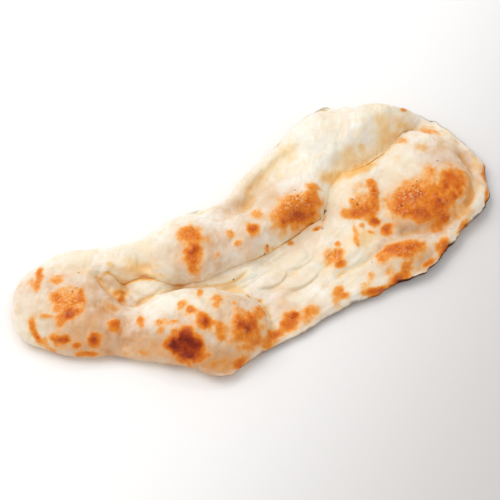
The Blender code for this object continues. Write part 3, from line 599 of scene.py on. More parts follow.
# Display colours, 0 to 255. The tints go over the cream: noise, its fade in, share, colour.
CREAM = (240, 235, 222)
CREAM_DEEP = (235, 223, 199)
CREAM_TINTS = (
    ("mottle", (0.48, 0.66), 0.40, (235, 210, 171)),
    ("rosy", (0.52, 0.68), 0.25, (237, 207, 182)),
    ("milky", (0.50, 0.70), 0.34, (247, 245, 239)),
)
DOUGH_BLUSH = (226, 152, 112)
CRUST_BLUSH = (196, 78, 34)
# Pale froth flecks, partly painted glints.
FROTH_AND_GLINT = (253, 216, 154)
# Dark brown of char, also used for the painted shade along the outer edge.
CHAR_AND_SHADE = (72, 32, 12)
SPECK = (64, 30, 14)
# Gold of butter and of painted warm shade in hollows and creases, light to deep.
BUTTER_AND_SHADE_RAMP = (
    (0.00, (242, 231, 204)),
    (0.35, (241, 211, 158)),
    (0.65, (235, 176, 92)),
    (1.00, (206, 120, 16)),
)
CRUST_RAMP = (
    (0.06, (250, 222, 178)),
    (0.26, (245, 186, 112)),
    (0.46, (236, 144, 38)),
    (0.64, (216, 108, 6)),
    (0.84, (166, 62, 2)),
    (1.00, (104, 26, 2)),
)
SOLE_RAMP = (
    (0.30, (236, 208, 160)),
    (0.50, (222, 170, 104)),
    (0.62, (180, 104, 46)),
    (0.75, (104, 48, 18)),
)

# Shares of bake and dark in the heat that browns the skin, and of its clouds and grit.
BAKE_HEAT = 0.62
DARK_HEAT = 0.36
CLOUD_HEAT = 0.80
GRIT_HEAT = (0.12, 0.60)
SHOWN_FADE = (0.0, 0.42)

# Shine of the dough and the fine bump of its skin.
ROUGHNESS_RANGE = (0.46, 0.34)
CRUST_SHINE = 0.12
CHAR_ROUGHNESS = 0.40
FLOOR_ROUGHNESS = 0.75
SUBSURFACE = 0.12
SUBSURFACE_RADIUS = (0.0040, 0.0020, 0.0008)
SPECULAR_LEVEL = 0.18
BUMP_DISTANCE = 0.0007
BUMP_STRENGTH = 0.7

# Golden line of butter and painted shade in the crease under the folded lip: x, strength, half width.
LIP_GOLD = (
    (-0.150, 0.30, 0.0015), (-0.136, 0.75, 0.0022), (-0.120, 0.80, 0.0024), (-0.100, 0.85, 0.0020),
    (-0.070, 0.90, 0.0020), (-0.055, 0.85, 0.0020), (-0.030, 0.80, 0.0020), (0.000, 0.75, 0.0018),
    (0.050, 0.65, 0.0016), (0.068, 0.15, 0.0040), (0.078, 0.30, 0.0060), (0.092, 0.40, 0.0050),
    (0.104, 0.95, 0.0022), (0.128, 1.00, 0.0018), (0.138, 0.60, 0.0022), (0.150, 0.30, 0.0030),
    (0.170, 0.00, 0.0030),
)
# Width of that line on the side of the lip, as a share.
LIP_GOLD_BEHIND = 0.6

# Narrow creases of the skin: depth, half width, gold of the butter and painted shade in them, points.
CREASES = (
    (0.0012, 0.0012, 0.60, ((-0.1454, -0.0038), (-0.1433, -0.0101), (-0.1402, -0.0147),
     (-0.1363, -0.0218), (-0.1316, -0.0276))),
    (0.0010, 0.0013, 0.48, ((-0.0642, -0.0283), (-0.0547, -0.0328), (-0.0427, -0.0345),
     (-0.0326, -0.0338), (-0.0236, -0.0305), (-0.0155, -0.0244))),
    (0.0007, 0.0012, 0.25, ((-0.1354, 0.0050), (-0.1304, 0.0010), (-0.1243, -0.0048))),
    (0.0006, 0.0022, 0.35, ((-0.1478, -0.0355), (-0.1435, -0.0391), (-0.1391, -0.0419),
     (-0.1344, -0.0395))),
    (0.0009, 0.0011, 0.70, ((-0.0264, -0.0469), (-0.0224, -0.0548), (-0.0174, -0.0561),
     (-0.0124, -0.0572))),
    (0.0009, 0.0012, 0.30, ((0.1265, -0.0383), (0.1367, -0.0387), (0.1451, -0.0369),
     (0.1511, -0.0344))),
    (0.0009, 0.0009, 0.20, ((0.1358, -0.0515), (0.1375, -0.0560), (0.1396, -0.0612))),
    (0.0011, 0.0008, 0.00, ((0.1704, 0.0089), (0.1717, 0.0021), (0.1735, -0.0034),
     (0.1765, -0.0087))),
    (0.0012, 0.0022, 0.25, ((0.1787, 0.0731), (0.1842, 0.0550), (0.1921, 0.0469), (0.1997, 0.0388),
     (0.2046, 0.0334), (0.1995, 0.0154))),
    (0.0014, 0.0026, 1.00, ((0.1995, 0.0154), (0.1983, 0.0026), (0.1975, -0.0058),
     (0.1910, -0.0151), (0.1814, -0.0229))),
    (0.0010, 0.0022, 0.30, ((0.1814, -0.0229), (0.1710, -0.0285), (0.1596, -0.0317),
     (0.1485, -0.0337))),
    (0.0018, 0.0040, 0.38, ((-0.0205, 0.0256), (-0.0079, 0.0311), (-0.0009, 0.0365),
     (0.0025, 0.0417), (0.0040, 0.0471), (0.0111, 0.0521), (0.0204, 0.0583), (0.0299, 0.0650),
     (0.0405, 0.0720), (0.0503, 0.0760))),
    (0.0026, 0.0055, 0.22, ((-0.0928, 0.0169), (-0.0973, 0.0058), (-0.1006, -0.0030),
     (-0.1052, -0.0093))),
)

# Pleats, one sheet lying over the next, raised on the left of the points:
# height, width, width of its fall, gold of butter and painted shade at the foot of the fall, points.
PLEATS = (
    (0.0018, 0.0070, 0.0016, 0.24, ((-0.0328, -0.0376), (-0.0224, -0.0391), (-0.0135, -0.0361),
     (-0.0030, -0.0312), (0.0079, -0.0284))),
    (0.0018, 0.0070, 0.0014, 0.34, ((-0.0153, -0.0455), (-0.0048, -0.0466), (0.0057, -0.0446),
     (0.0121, -0.0399), (0.0161, -0.0343))),
    (0.0019, 0.0080, 0.0016, 0.22, ((0.0169, -0.0345), (0.0261, -0.0344), (0.0339, -0.0328),
     (0.0416, -0.0275), (0.0476, -0.0214))),
    (0.0020, 0.0090, 0.0017, 0.26, ((0.0060, -0.0527), (0.0170, -0.0550), (0.0276, -0.0529),
     (0.0362, -0.0489), (0.0433, -0.0436))),
    (0.0016, 0.0060, 0.0013, 0.22, ((-0.0031, -0.0224), (0.0043, -0.0221), (0.0145, -0.0187),
     (0.0247, -0.0153))),
    (0.0009, 0.0140, 0.0070, 0.00, ((0.0826, 0.0421), (0.0868, 0.0534), (0.0894, 0.0632),
     (0.0935, 0.0708), (0.1004, 0.0777), (0.1093, 0.0847), (0.1216, 0.0972))),
    (0.0013, 0.0060, 0.0012, 0.45, ((0.0965, -0.0435), (0.0896, -0.0452), (0.0816, -0.0472),
     (0.0728, -0.0489), (0.0640, -0.0506), (0.0550, -0.0527))),
    (0.0010, 0.0060, 0.0012, 0.25, ((-0.0808, -0.0226), (-0.0893, -0.0254), (-0.0966, -0.0268),
     (-0.1042, -0.0288), (-0.1117, -0.0295), (-0.1190, -0.0317), (-0.1265, -0.0316))),
)
# Width of the gold, butter and painted shade, in a crease, in half widths of it. Then the fall of a pleat,
# its groove (depth, place, width) and its gold of painted shade at its foot (place, width), in widths of
# the fall.
CREASE_GOLD = 1.5
PLEAT_FALL = (-0.4, 0.6)
PLEAT_GROOVE = (0.35, 0.5, 0.6)
PLEAT_GOLD = (0.2, 0.9)

# Golden stains of butter and painted shade in the pocket and creases: strength, half width, points.
BUTTER_AND_SHADE_STAINS = (
    (1.00, 0.0045, ((-0.1325, -0.0184), (-0.1295, -0.0160), (-0.1272, -0.0170),
     (-0.1304, -0.0256))),
    (0.45, 0.0022, ((-0.1447, -0.0049), (-0.1406, -0.0126), (-0.1363, -0.0218),
     (-0.1308, -0.0276))),
    (0.45, 0.0070, ((0.0730, 0.0400), (0.0862, 0.0442), (0.1007, 0.0480))),
    (0.40, 0.0080, ((0.1038, 0.0527), (0.1167, 0.0499), (0.1386, 0.0622))),
    (0.35, 0.0070, ((0.1363, 0.0785), (0.1365, 0.0716))),
    (0.30, 0.0020, ((-0.0553, -0.0285), (-0.0465, -0.0293), (-0.0358, -0.0292))),
    (0.35, 0.0090, ((-0.1163, 0.0011), (-0.1075, -0.0050))),
    (0.30, 0.0070, ((-0.1335, -0.0085), (-0.1293, -0.0048))),
)


def smooth_curve(points, step, closed):
    """Catmull-Rom curve through the points, resampled about every step in plan."""
    rows = np.array(points, float)
    count = len(rows)
    spans = count if closed else count - 1
    dense = []
    for index in range(spans):
        if closed:
            picks = [(index + k) % count for k in (-1, 0, 1, 2)]
        else:
            picks = [min(max(index + k, 0), count - 1) for k in (-1, 0, 1, 2)]
        before, start, end, after = rows[picks]
        for t in np.arange(CURVE_SAMPLES) / CURVE_SAMPLES:
            dense.append(0.5 * (2.0 * start + (end - before) * t
                                + (2.0 * before - 5.0 * start + 4.0 * end - after) * t ** 2
                                + (3.0 * start - before - 3.0 * end + after) * t ** 3))
    dense.append(rows[0] if closed else rows[-1])
    dense = np.array(dense)
    gaps = np.hypot(*np.diff(dense[:, :2], axis=0).T)
    along = np.concatenate([[0.0], np.cumsum(gaps)])
    number = max(int(round(along[-1] / step)), 2)
    targets = np.linspace(0.0, along[-1], number + 1)
    curve = np.stack([np.interp(targets, along, dense[:, k]) for k in range(dense.shape[1])], 1)
    return curve[:-1] if closed else curve


def nearest_on(points, curve, closed):
    """Distance to a curve, side of it (plus is left), and the curve's values there."""
    starts = curve
    ends = np.roll(curve, -1, axis=0)
    if not closed:
        starts = curve[:-1]
        ends = curve[1:]
    best = np.full(len(points), np.inf)
    side = np.ones(len(points))
    values = np.zeros((len(points), curve.shape[1]))
    for start, end in zip(starts, ends):
        run = end[:2] - start[:2]
        offset = points - start[:2]
        t = np.clip(offset @ run / max(run @ run, 1e-18), 0.0, 1.0)
        gap = offset - t[:, None] * run
        distance = np.hypot(gap[:, 0], gap[:, 1])
        closer = distance < best
        best[closer] = distance[closer]
        cross = run[0] * offset[closer, 1] - run[1] * offset[closer, 0]
        side[closer] = np.where(cross >= 0.0, 1.0, -1.0)
        values[closer] = start + t[closer, None] * (end - start)
    return best, side, values


def rounded(distance, radius):
    """Quarter-round rise from 0 at an edge to 1 at the radius."""
    inner = np.clip(distance / radius, 0.0, 1.0)
    return np.sqrt(np.clip(1.0 - (1.0 - inner) ** 2, 0.0, 1.0))


def smooth_step(value, low, high):
    t = np.clip((value - low) / (high - low), 0.0, 1.0)
    return t * t * (3.0 - 2.0 * t)


def window(value, span):
    """1 within a span given as the start and end of its fade in and of its fade out."""
    return smooth_step(value, *span[:2]) * (1.0 - smooth_step(value, *span[2:]))


def soft_max(first, second, width):
    near = np.clip(width - np.abs(first - second), 0.0, None) / width
    return np.maximum(first, second) + near * near * width / 4.0


def left_normals(run):
    """Unit plan vectors to the left of the given runs."""
    normal = np.column_stack([-run[:, 1], run[:, 0]])
    return normal / np.hypot(normal[:, 0], normal[:, 1])[:, None]


def turned(points, x, y, turn):
    """Plan distances from x, y, along a direction and across it."""
    angle = np.radians(turn)
    right = points[:, 0] - x
    up = points[:, 1] - y
    return right * np.cos(angle) + up * np.sin(angle), up * np.cos(angle) - right * np.sin(angle)


def bubble(points, size):
    """Height of one puffed bubble over the plan points."""
    x, y, half_length, half_width, turn, height, fullness = size
    along, across = turned(points, x, y, turn)
    r = np.sqrt((along / half_length) ** 2 + (across / half_width) ** 2)
    return height * np.sqrt(np.clip(1.0 - r ** fullness, 0.0, 1.0))


def folds_at(points):
    """Sum of the creases and ridges that cross the sheet."""
    total = np.zeros(len(points))
    for height, half_width, line in FOLDS:
        distance, side, values = nearest_on(points, smooth_curve(line, FOLD_STEP, False), False)
        total += height * np.exp(-(distance / half_width) ** 2)
    return total


def rim_at(points, distance):
    """Height of the rolled rim round the broad end."""
    first = OUTLINE[RIM_SPAN[0]]
    last = OUTLINE[RIM_SPAN[1]]
    start_place = first[0] - RIM_START_SLOPE * first[1]
    end_place = last[0] - last[1]
    start = smooth_step(points[:, 0] - RIM_START_SLOPE * points[:, 1],
                        start_place - RIM_START_FADE, start_place + RIM_START_FADE)
    end = smooth_step(points[:, 0] - points[:, 1], end_place - RIM_END_FADE, end_place)
    across = (distance - RIM_INSET) / RIM_HALF_WIDTH
    return start * end * RIM_HEIGHT * np.sqrt(np.clip(1.0 - across ** 2, 0.0, 1.0))


def lip_at(points, lip_curve):
    """Share of the back roll's height, and how far it leans forward over the crease."""
    distance, side, values = nearest_on(points, lip_curve, False)
    radius = values[:, 2]
    tuck = np.radians(values[:, 3])
    reach = radius * np.cos(tuck)
    t = np.clip(distance * side / reach, 0.0, 1.0)
    turn = -tuck + (np.pi / 2.0 + tuck) * t
    share = (np.sin(turn) + np.sin(tuck)) / (1.0 + np.sin(tuck))
    lean = radius * (np.cos(turn) - np.cos(tuck) * (1.0 - t))
    behind = side > 0.0
    share = np.where(behind, np.clip(share, 0.0, 1.0) ** values[:, 4], 0.0)
    lean = np.where(behind & (t < 1.0), lean, 0.0)
    weight = smooth_step(points[:, 0], *LIP_FADE)
    normal = points - values[:, :2]
    length = np.maximum(np.hypot(normal[:, 0], normal[:, 1]), 1e-9)
    direction = -normal / length[:, None]
    return 1.0 - weight * (1.0 - share), lean * weight, direction


def top_surface(points, outline, lip_curve):
    """Plan points of the top side carried to their place on the bread."""
    distance, side, edge = nearest_on(points, outline, True)
    front = np.full(len(points), SHEET_HEIGHT)
    for size in FRONT_BUBBLES.values():
        front = soft_max(front, bubble(points, size), JOIN)
    front = soft_max(front, rim_at(points, distance), JOIN)
    back = np.zeros(len(points))
    for size in BACK_BUBBLES.values():
        back = soft_max(back, bubble(points, size), JOIN)
    share, lean, direction = lip_at(points, lip_curve)
    height = front + np.clip(back - front, 0.0, None) * share
    height = np.maximum(height + folds_at(points), LEAST_HEIGHT)
    rise = np.clip((back - front) / LIP_FULL_RISE, 0.0, 1.0)
    lean = lean * rise * smooth_step(distance, *LIP_LEAN_FADE)
    z = edge[:, 2] + (height - edge[:, 2]) * rounded(distance, edge[:, 3])
    moved = points + direction * lean[:, None]
    return np.column_stack([moved, z])


def base_surface(points, outline):
    """Plan points of the underside: flat in the middle, curling up to the edge."""
    distance, side, edge = nearest_on(points, outline, True)
    reach = BASE_CURL * (BASE_CURL_MARGIN + edge[:, 3])
    z = edge[:, 2] * (1.0 - rounded(distance, reach))
    return np.column_stack([points, z])


def inside(points, outline):
    """True where a plan point lies within the outline."""
    crossings = np.zeros(len(points), int)
    for start, end in zip(outline, np.roll(outline, -1, axis=0)):
        spans = (start[1] > points[:, 1]) != (end[1] > points[:, 1])
        drop = end[1] - start[1]
        if abs(drop) < 1e-15:
            continue
        at = start[0] + (points[:, 1] - start[1]) * (end[0] - start[0]) / drop
        crossings += (spans & (points[:, 0] < at)).astype(int)
    return crossings % 2 == 1


def ring_points(outline, offset):
    """Points set inward from the outline, left out where the ring folds over itself."""
    run = (np.roll(outline, -1, axis=0) - np.roll(outline, 1, axis=0))[:, :2]
    points = outline[:, :2] + left_normals(run) * offset
    distance, side, values = nearest_on(points, outline, True)
    return points[distance > RING_KEEP * offset]


def lattice_points(outline, step, clear):
    """Even triangular lattice inside the outline."""
    low = outline[:, :2].min(axis=0)
    high = outline[:, :2].max(axis=0)
    row_step = step * LATTICE_ROW
    rows = int((high[1] - low[1]) / row_step) + 1
    columns = int((high[0] - low[0]) / step) + 2
    points = []
    for row in range(rows):
        for column in range(columns):
            points.append((low[0] + (column + 0.5 * (row % 2)) * step, low[1] + (row + 0.5) * row_step))
    points = np.array(points)
    points = points[inside(points, outline)]
    distance, side, values = nearest_on(points, outline, True)
    return points[distance > clear]


def lip_points(lip_curve):
    """Rows of points that follow the rolled lip."""
    ahead = np.vstack([lip_curve[1:], lip_curve[-1:]])[:, :2]
    behind = np.vstack([lip_curve[:1], lip_curve[:-1]])[:, :2]
    normal = left_normals(ahead - behind)
    reach = lip_curve[:, 2] * np.cos(np.radians(lip_curve[:, 3]))
    rows = [lip_curve[:, :2] + normal * offset for offset in LIP_ROWS]
    rows += [lip_curve[:, :2] + normal * (reach * turn)[:, None] for turn in LIP_TURNS]
    return np.vstack(rows)


def add_clear(kept, extra, gap):
    """Join the extra points that keep the given gap to the kept ones."""
    tree = KDTree(len(kept))
    for index, point in enumerate(kept):
        tree.insert((point[0], point[1], 0.0), index)
    tree.balance()
    free = [tree.find((point[0], point[1], 0.0))[2] > gap for point in extra]
    return np.vstack([kept, extra[np.array(free, bool)]])


def thin_out(points, gap):
    """Drop points that crowd an earlier one."""
    kept = []
    for point in points:
        if not kept or np.min(np.hypot(*(np.array(kept) - point).T)) > gap:
            kept.append(point)
    return np.array(kept)


def triangulate(points, edge_count):
    """Triangles over plan points whose first edge_count points are the closed outline."""
    coords = [Vector((point[0] * 1000.0, point[1] * 1000.0)) for point in points]
    edges = [(index, (index + 1) % edge_count) for index in range(edge_count)]
    found = geometry.delaunay_2d_cdt(coords, edges, [], 1, 1e-6)
    origin = [members[0] for members in found[3]]
    triangles = []
    for face in found[2]:
        corners = [origin[corner] for corner in face]
        a, b, c = points[corners[0]], points[corners[1]], points[corners[2]]
        area = (b[0] - a[0]) * (c[1] - a[1]) - (b[1] - a[1]) * (c[0] - a[0])
        triangles.append(corners if area > 0.0 else corners[::-1])
    return triangles


def top_plan(outline, lip_curve):
    """Plan points of the top side."""
    lip = thin_out(lip_points(lip_curve), LIP_POINT_GAP)
    lip = lip[inside(lip, outline)]
    distance, side, values = nearest_on(lip, outline, True)
    points = np.vstack([outline[:, :2], lip[distance > LIP_TO_EDGE_GAP]])
    for offset in RING_OFFSETS:
        points = add_clear(points, ring_points(outline, offset), RING_GAP[0] + RING_GAP[1] * offset)
    clear = RING_OFFSETS[-1] + TOP_CLEAR * TOP_STEP
    return add_clear(points, lattice_points(outline, TOP_STEP, clear), TOP_GAP * TOP_STEP)


def base_plan(outline):
    """Plan points of the underside."""
    points = outline[:, :2]
    for number, offset in enumerate(BASE_RING_OFFSETS):
        ring = ring_points(outline, offset)[::number + 1]
        points = add_clear(points, ring, BASE_GAP * offset)
    clear = BASE_RING_OFFSETS[-1] + BASE_GAP * BASE_STEP
    return add_clear(points, lattice_points(outline, BASE_STEP, clear), BASE_GAP * BASE_STEP)


def split_triangles(plan, sides, faces, face_sides, edge_count):
    """Split every triangle in four. The outline's edges stay shared by both sides."""
    pairs = np.vstack([faces[:, [0, 1]], faces[:, [1, 2]], faces[:, [2, 0]]])
    low = pairs.min(axis=1)
    high = pairs.max(axis=1)
    side = np.tile(face_sides, 3)
    gap = high - low
    on_edge = (high < edge_count) & ((gap == 1) | (gap == edge_count - 1))
    side = np.where(on_edge, 2, side)
    keys, where = np.unique((low * len(plan) + high) * 3 + side, return_inverse=True)
    ends = keys // 3
    middles = (plan[ends // len(plan)] + plan[ends % len(plan)]) / 2.0
    where = where.reshape(3, -1) + len(plan)
    a, b, c = faces.T
    ab, bc, ca = where
    split = np.vstack([np.column_stack(corner) for corner in
                       ((a, ab, ca), (ab, b, bc), (ca, bc, c), (ab, bc, ca))])
    return (np.vstack([plan, middles]), np.concatenate([sides, keys % 3]),
            split, np.tile(face_sides, 4))


def plan_mesh(outline, lip_curve):
    """Fine plan mesh of both sides: points, side of each, triangles and side of each."""
    edge_count = len(outline)
    top = top_plan(outline, lip_curve)
    base = base_plan(outline)
    top_faces = np.array(triangulate(top, edge_count))
    base_faces = np.array(triangulate(base, edge_count))[:, ::-1]
    base_faces = np.where(base_faces < edge_count, base_faces,
                          base_faces + len(top) - edge_count)
    plan = np.vstack([top, base[edge_count:]])
    sides = np.ones(len(plan), int)
    sides[:len(top)] = 0
    sides[:edge_count] = 2
    faces = np.vstack([top_faces, base_faces])
    face_sides = np.concatenate([np.zeros(len(top_faces), int), np.ones(len(base_faces), int)])
    return split_triangles(plan, sides, faces, face_sides, edge_count)


def vertex_normals(points, faces):
    corners = points[faces]
    cross = np.cross(corners[:, 1] - corners[:, 0], corners[:, 2] - corners[:, 0])
    normals = np.zeros_like(points)
    for k in range(3):
        np.add.at(normals, faces[:, k], cross)
    return normals / np.maximum(np.linalg.norm(normals, axis=1), 1e-12)[:, None]


def spread(values, faces, rounds):
    """Average of a value over growing neighbourhoods of the mesh."""
    ends = np.vstack([faces[:, [0, 1]], faces[:, [1, 2]], faces[:, [2, 0]]])
    ends = np.vstack([ends, ends[:, ::-1]])
    count = np.bincount(ends[:, 0], minlength=len(values)).astype(float)
    for turn in range(rounds):
        total = np.bincount(ends[:, 0], weights=values[ends[:, 1]], minlength=len(values))
        values = 0.5 * values + 0.5 * total / np.maximum(count, 1.0)
    return values


def lumps(points, size, seed):
    """Smooth noise from -1 to 1 with lumps about the given size."""
    shift = Vector([seed * share for share in SEED_SHIFT])
    scaled = points / size
    return np.array([noise.noise(Vector(row) + shift) for row in scaled])


def lump_sum(points, rows):
    """Sum of several sizes of lumps, each row a height, a size and a seed."""
    return sum(height * lumps(points, size, seed) for height, size, seed in rows)


def wrinkles(points, height, length, width, turn, seed):
    """Ridges drawn out along one direction of the sheet."""
    along, across = turned(points, 0.0, 0.0, turn)
    drawn = np.column_stack([along / length, across / width, points[:, 2] / width])
    return height * (WRINKLE_MEAN - np.abs(lumps(drawn, 1.0, seed)))


def add_patch(fields, points, ragged, kind, spot):
    """Add one browned patch to the fields, in the points near it."""
    x, y, half_length, half_width = (value / 1000.0 for value in spot[:4])
    strength = spot[5] / 100.0
    grain = spot[6] / 100.0
    near = np.hypot(points[:, 0] - x, points[:, 1] - y) < PATCH_SPAN * max(half_length, half_width)
    if not near.any():
        return
    along, across = turned(points[near], x, y, spot[4])
    reach = np.sqrt((along / half_length) ** 2 + (across / half_width) ** 2) + ragged[near]
    level = 1.0 - smooth_step(reach, *PATCH_FADE)
    if kind == "pale":
        fields["bake"][near] *= 1.0 - strength * level
        fields["dark"][near] *= 1.0 - strength * level
        return
    # A glaze patch washes in toasted glaze and painted shade.
    if kind == "glaze":
        wash = strength * (1.0 - smooth_step(reach, *WASH_FADE))
        fields["glaze"][near] = 1.0 - (1.0 - fields["glaze"][near]) * (1.0 - wash)
        return
    bake, dark, blush, gold = PATCH_KINDS[kind]
    halo = HALO * bake * strength * (1.0 - smooth_step(reach, *HALO_FADE))
    shares = (("bake", bake * strength * level), ("dark", dark * strength * level),
              ("blush", np.maximum(blush * strength * level, halo)),
              ("gold", np.maximum(gold * strength * level, halo)))
    for name, share in shares:
        fields[name][near] = np.minimum((fields[name][near] ** 4 + share ** 4) ** 0.25, 1.0)
    fields["grain"][near] = np.maximum(fields["grain"][near], grain * level)


def browning(points):
    """Browned fields of the top side, each 0 to 1, from the list of patches."""
    fields = {name: np.zeros(len(points)) for name in BROWNED_FIELDS}
    ragged = lump_sum(points, PATCH_RAGGEDNESS)
    for kind, spots in BROWNED_PATCHES:
        for spot in spots:
            add_patch(fields, points, ragged, kind, spot)
    return fields


def speck_field(points):
    """Black char specks of the top side."""
    field = np.zeros(len(points))
    for x, y, radius in CHAR_SPECKS:
        distance = np.hypot(points[:, 0] - x, points[:, 1] - y) / radius
        field = np.maximum(field, 1.0 - smooth_step(distance, *SPECK_FADE))
    return field


def along_line(points, line):
    """Signed distance to a named line, plus on its left, and a fade towards its ends."""
    rows = [(*point, index / (len(line) - 1)) for index, point in enumerate(line)]
    distance, side, values = nearest_on(points, smooth_curve(rows, LINE_STEP, False), False)
    return distance * side, window(values[:, 2], LINE_FADE)


def creases_at(points):
    """Depth and golden tint of the narrow creases."""
    depth = np.zeros(len(points))
    gold = np.zeros(len(points))
    for size, half_width, tint, line in CREASES:
        across, fade = along_line(points, line)
        depth = np.maximum(depth, size * fade * np.exp(-(across / half_width) ** 2))
        gold = np.maximum(gold, tint * np.sqrt(fade) * np.exp(-(across / (CREASE_GOLD * half_width)) ** 2))
    return depth, gold


def pleats_at(points):
    """Rise and golden tint where one sheet of dough lies over the next."""
    rise = np.zeros(len(points))
    gold = np.zeros(len(points))
    for height, width, fall, tint, line in PLEATS:
        across, fade = along_line(points, line)
        place = across / fall
        sheet = smooth_step(place, *PLEAT_FALL) * np.exp(-np.clip(across, 0.0, None) / width)
        groove = PLEAT_GROOVE[0] * np.exp(-((place + PLEAT_GROOVE[1]) / PLEAT_GROOVE[2]) ** 2)
        rise += height * fade * (sheet - groove)
        # Painted shade: gold at the foot of the pleat's fall.
        shade = np.exp(-((place + PLEAT_GOLD[0]) / PLEAT_GOLD[1]) ** 2)
        gold = np.maximum(gold, tint * fade * shade)
    return rise, gold


def butter_and_shade_stains_at(points):
    # Butter stains and painted shade in the pocket and creases.
    stain = np.zeros(len(points))
    for strength, half_width, line in BUTTER_AND_SHADE_STAINS:
        across, fade = along_line(points, line)
        stain = np.maximum(stain, strength * np.exp(-(across / half_width) ** 2))
    return stain


def lip_edge_at(points, plan, lip_curve):
    """Thin browned line along the edge of the folded lip, flecked with char."""
    distance, side, values = nearest_on(plan, lip_curve, False)
    span = window(values[:, 0], LIP_EDGE_SPAN)
    flecks = smooth_step(lump_sum(points, LIP_FLECKS), *LIP_FLECK_FADE)
    return span * window(distance * side, LIP_EDGE_BAND) * flecks


def lip_gold_at(plan, lip_curve):
    """Golden line of butter, toasting and painted shade in the crease under the folded lip."""
    distance, side, values = nearest_on(plan, lip_curve, False)
    marks = np.array(LIP_GOLD)
    strength = np.interp(values[:, 0], marks[:, 0], marks[:, 1])
    width = np.interp(values[:, 0], marks[:, 0], marks[:, 2]) * np.where(side > 0.0, LIP_GOLD_BEHIND, 1.0)
    return strength * np.exp(-(distance / width) ** 2)


def lip_fillet_at(plan, lip_curve):
    """Rise of the lower sheet where the folded lip rests on it, so that no deep gap is left."""
    distance, side, values = nearest_on(plan, lip_curve, False)
    ends = window(values[:, 0], LIP_FILLET_SPAN)
    below = 1.0 - smooth_step(distance * side, *LIP_FILLET_FADE)
    return LIP_FILLET * ends * below * np.exp(-(distance / LIP_FILLET_WIDTH) ** 2)


def edge_char_and_shade_at(points, distance, index, width):
    """Charring and painted shade of the outer edge, by place along the outline."""
    marks = np.array(EDGE_CHAR_AND_SHADE)
    strength = np.interp(index, marks[:, 0], marks[:, 1]) * smooth_step(points[:, 0], *EDGE_CHAR_AND_SHADE_FADE)
    ragged = np.clip(EDGE_CHAR_AND_SHADE_MEAN + lump_sum(points, EDGE_CHAR_AND_SHADE_RAGGEDNESS), *EDGE_CHAR_AND_SHADE_RANGE)
    width = width * np.interp(index, marks[:, 0], marks[:, 2]) * ragged
    return strength * (1.0 - smooth_step(distance, EDGE_CHAR_AND_SHADE_CORE * width, width))


def small_relief(points, distance, fields):
    """Fine relief of the top side, along its normals, and the gold it gathers."""
    sheet = 1.0 - smooth_step(points[:, 2], *SHEET_SPAN)
    relief = lump_sum(points, SKIN_LUMPS)
    relief += sheet * wrinkles(points, *SHEET_WRINKLES)
    relief += (1.0 - sheet) * wrinkles(points, *BUBBLE_WRINKLES)
    height, size, seed = BUBBLE_FACETS
    relief += (1.0 - sheet) * height * (WRINKLE_MEAN - np.abs(lumps(points, size, seed)))
    height, size, seed = BLISTERS
    blister = np.clip(lumps(points, size, seed), *BLISTER_RANGE)
    relief += fields["bake"] * (BLISTER_SWELL + height * blister)
    relief += fields["grain"] * lump_sum(points, (BLISTER_GRAIN,))
    depth, crease_gold = creases_at(points[:, :2])
    rise, pleat_gold = pleats_at(points[:, :2])
    relief += rise - depth
    return relief * smooth_step(distance, *RELIEF_FADE), np.maximum(crease_gold, pleat_gold)


def rough_edge(outline):
    """The outline with the small bumps of a hand-stretched edge."""
    normal = left_normals((np.roll(outline, -1, axis=0) - np.roll(outline, 1, axis=0))[:, :2])
    flat = np.column_stack([outline[:, :2], np.zeros(len(outline))])
    broad = smooth_step(outline[:, 0], *EDGE_BUMP_SPAN)
    share = EDGE_BUMP_LEAST + (1.0 - EDGE_BUMP_LEAST) * broad
    moved = outline.copy()
    moved[:, :2] += normal * (lump_sum(flat, EDGE_BUMPS) * share)[:, None]
    return moved


def base_relief(points, distance):
    """Low unevenness of the baked underside, raised from the table so it never sinks."""
    height, size, seed = BASE_HOLLOWS
    hollow = height * (0.5 + 0.5 * lumps(points, size, seed)) ** 2
    height, size, seed = BASE_PITS
    pits = height * np.clip(lumps(points, size, seed), 0.0, 1.0)
    return (hollow + pits) * smooth_step(distance, *BASE_RELIEF_FADE)


def top_fields(points, plan, distance, lip_curve):
    """Shading fields and small relief of the top side."""
    fields = browning(points)
    fields["speck"] = speck_field(points)
    relief, gold = small_relief(points, distance, fields)
    gold = np.maximum(gold, butter_and_shade_stains_at(points[:, :2]))
    gold = np.maximum(gold, lip_gold_at(plan, lip_curve))
    fields["gold"] = np.maximum(fields["gold"], gold)
    return fields, relief


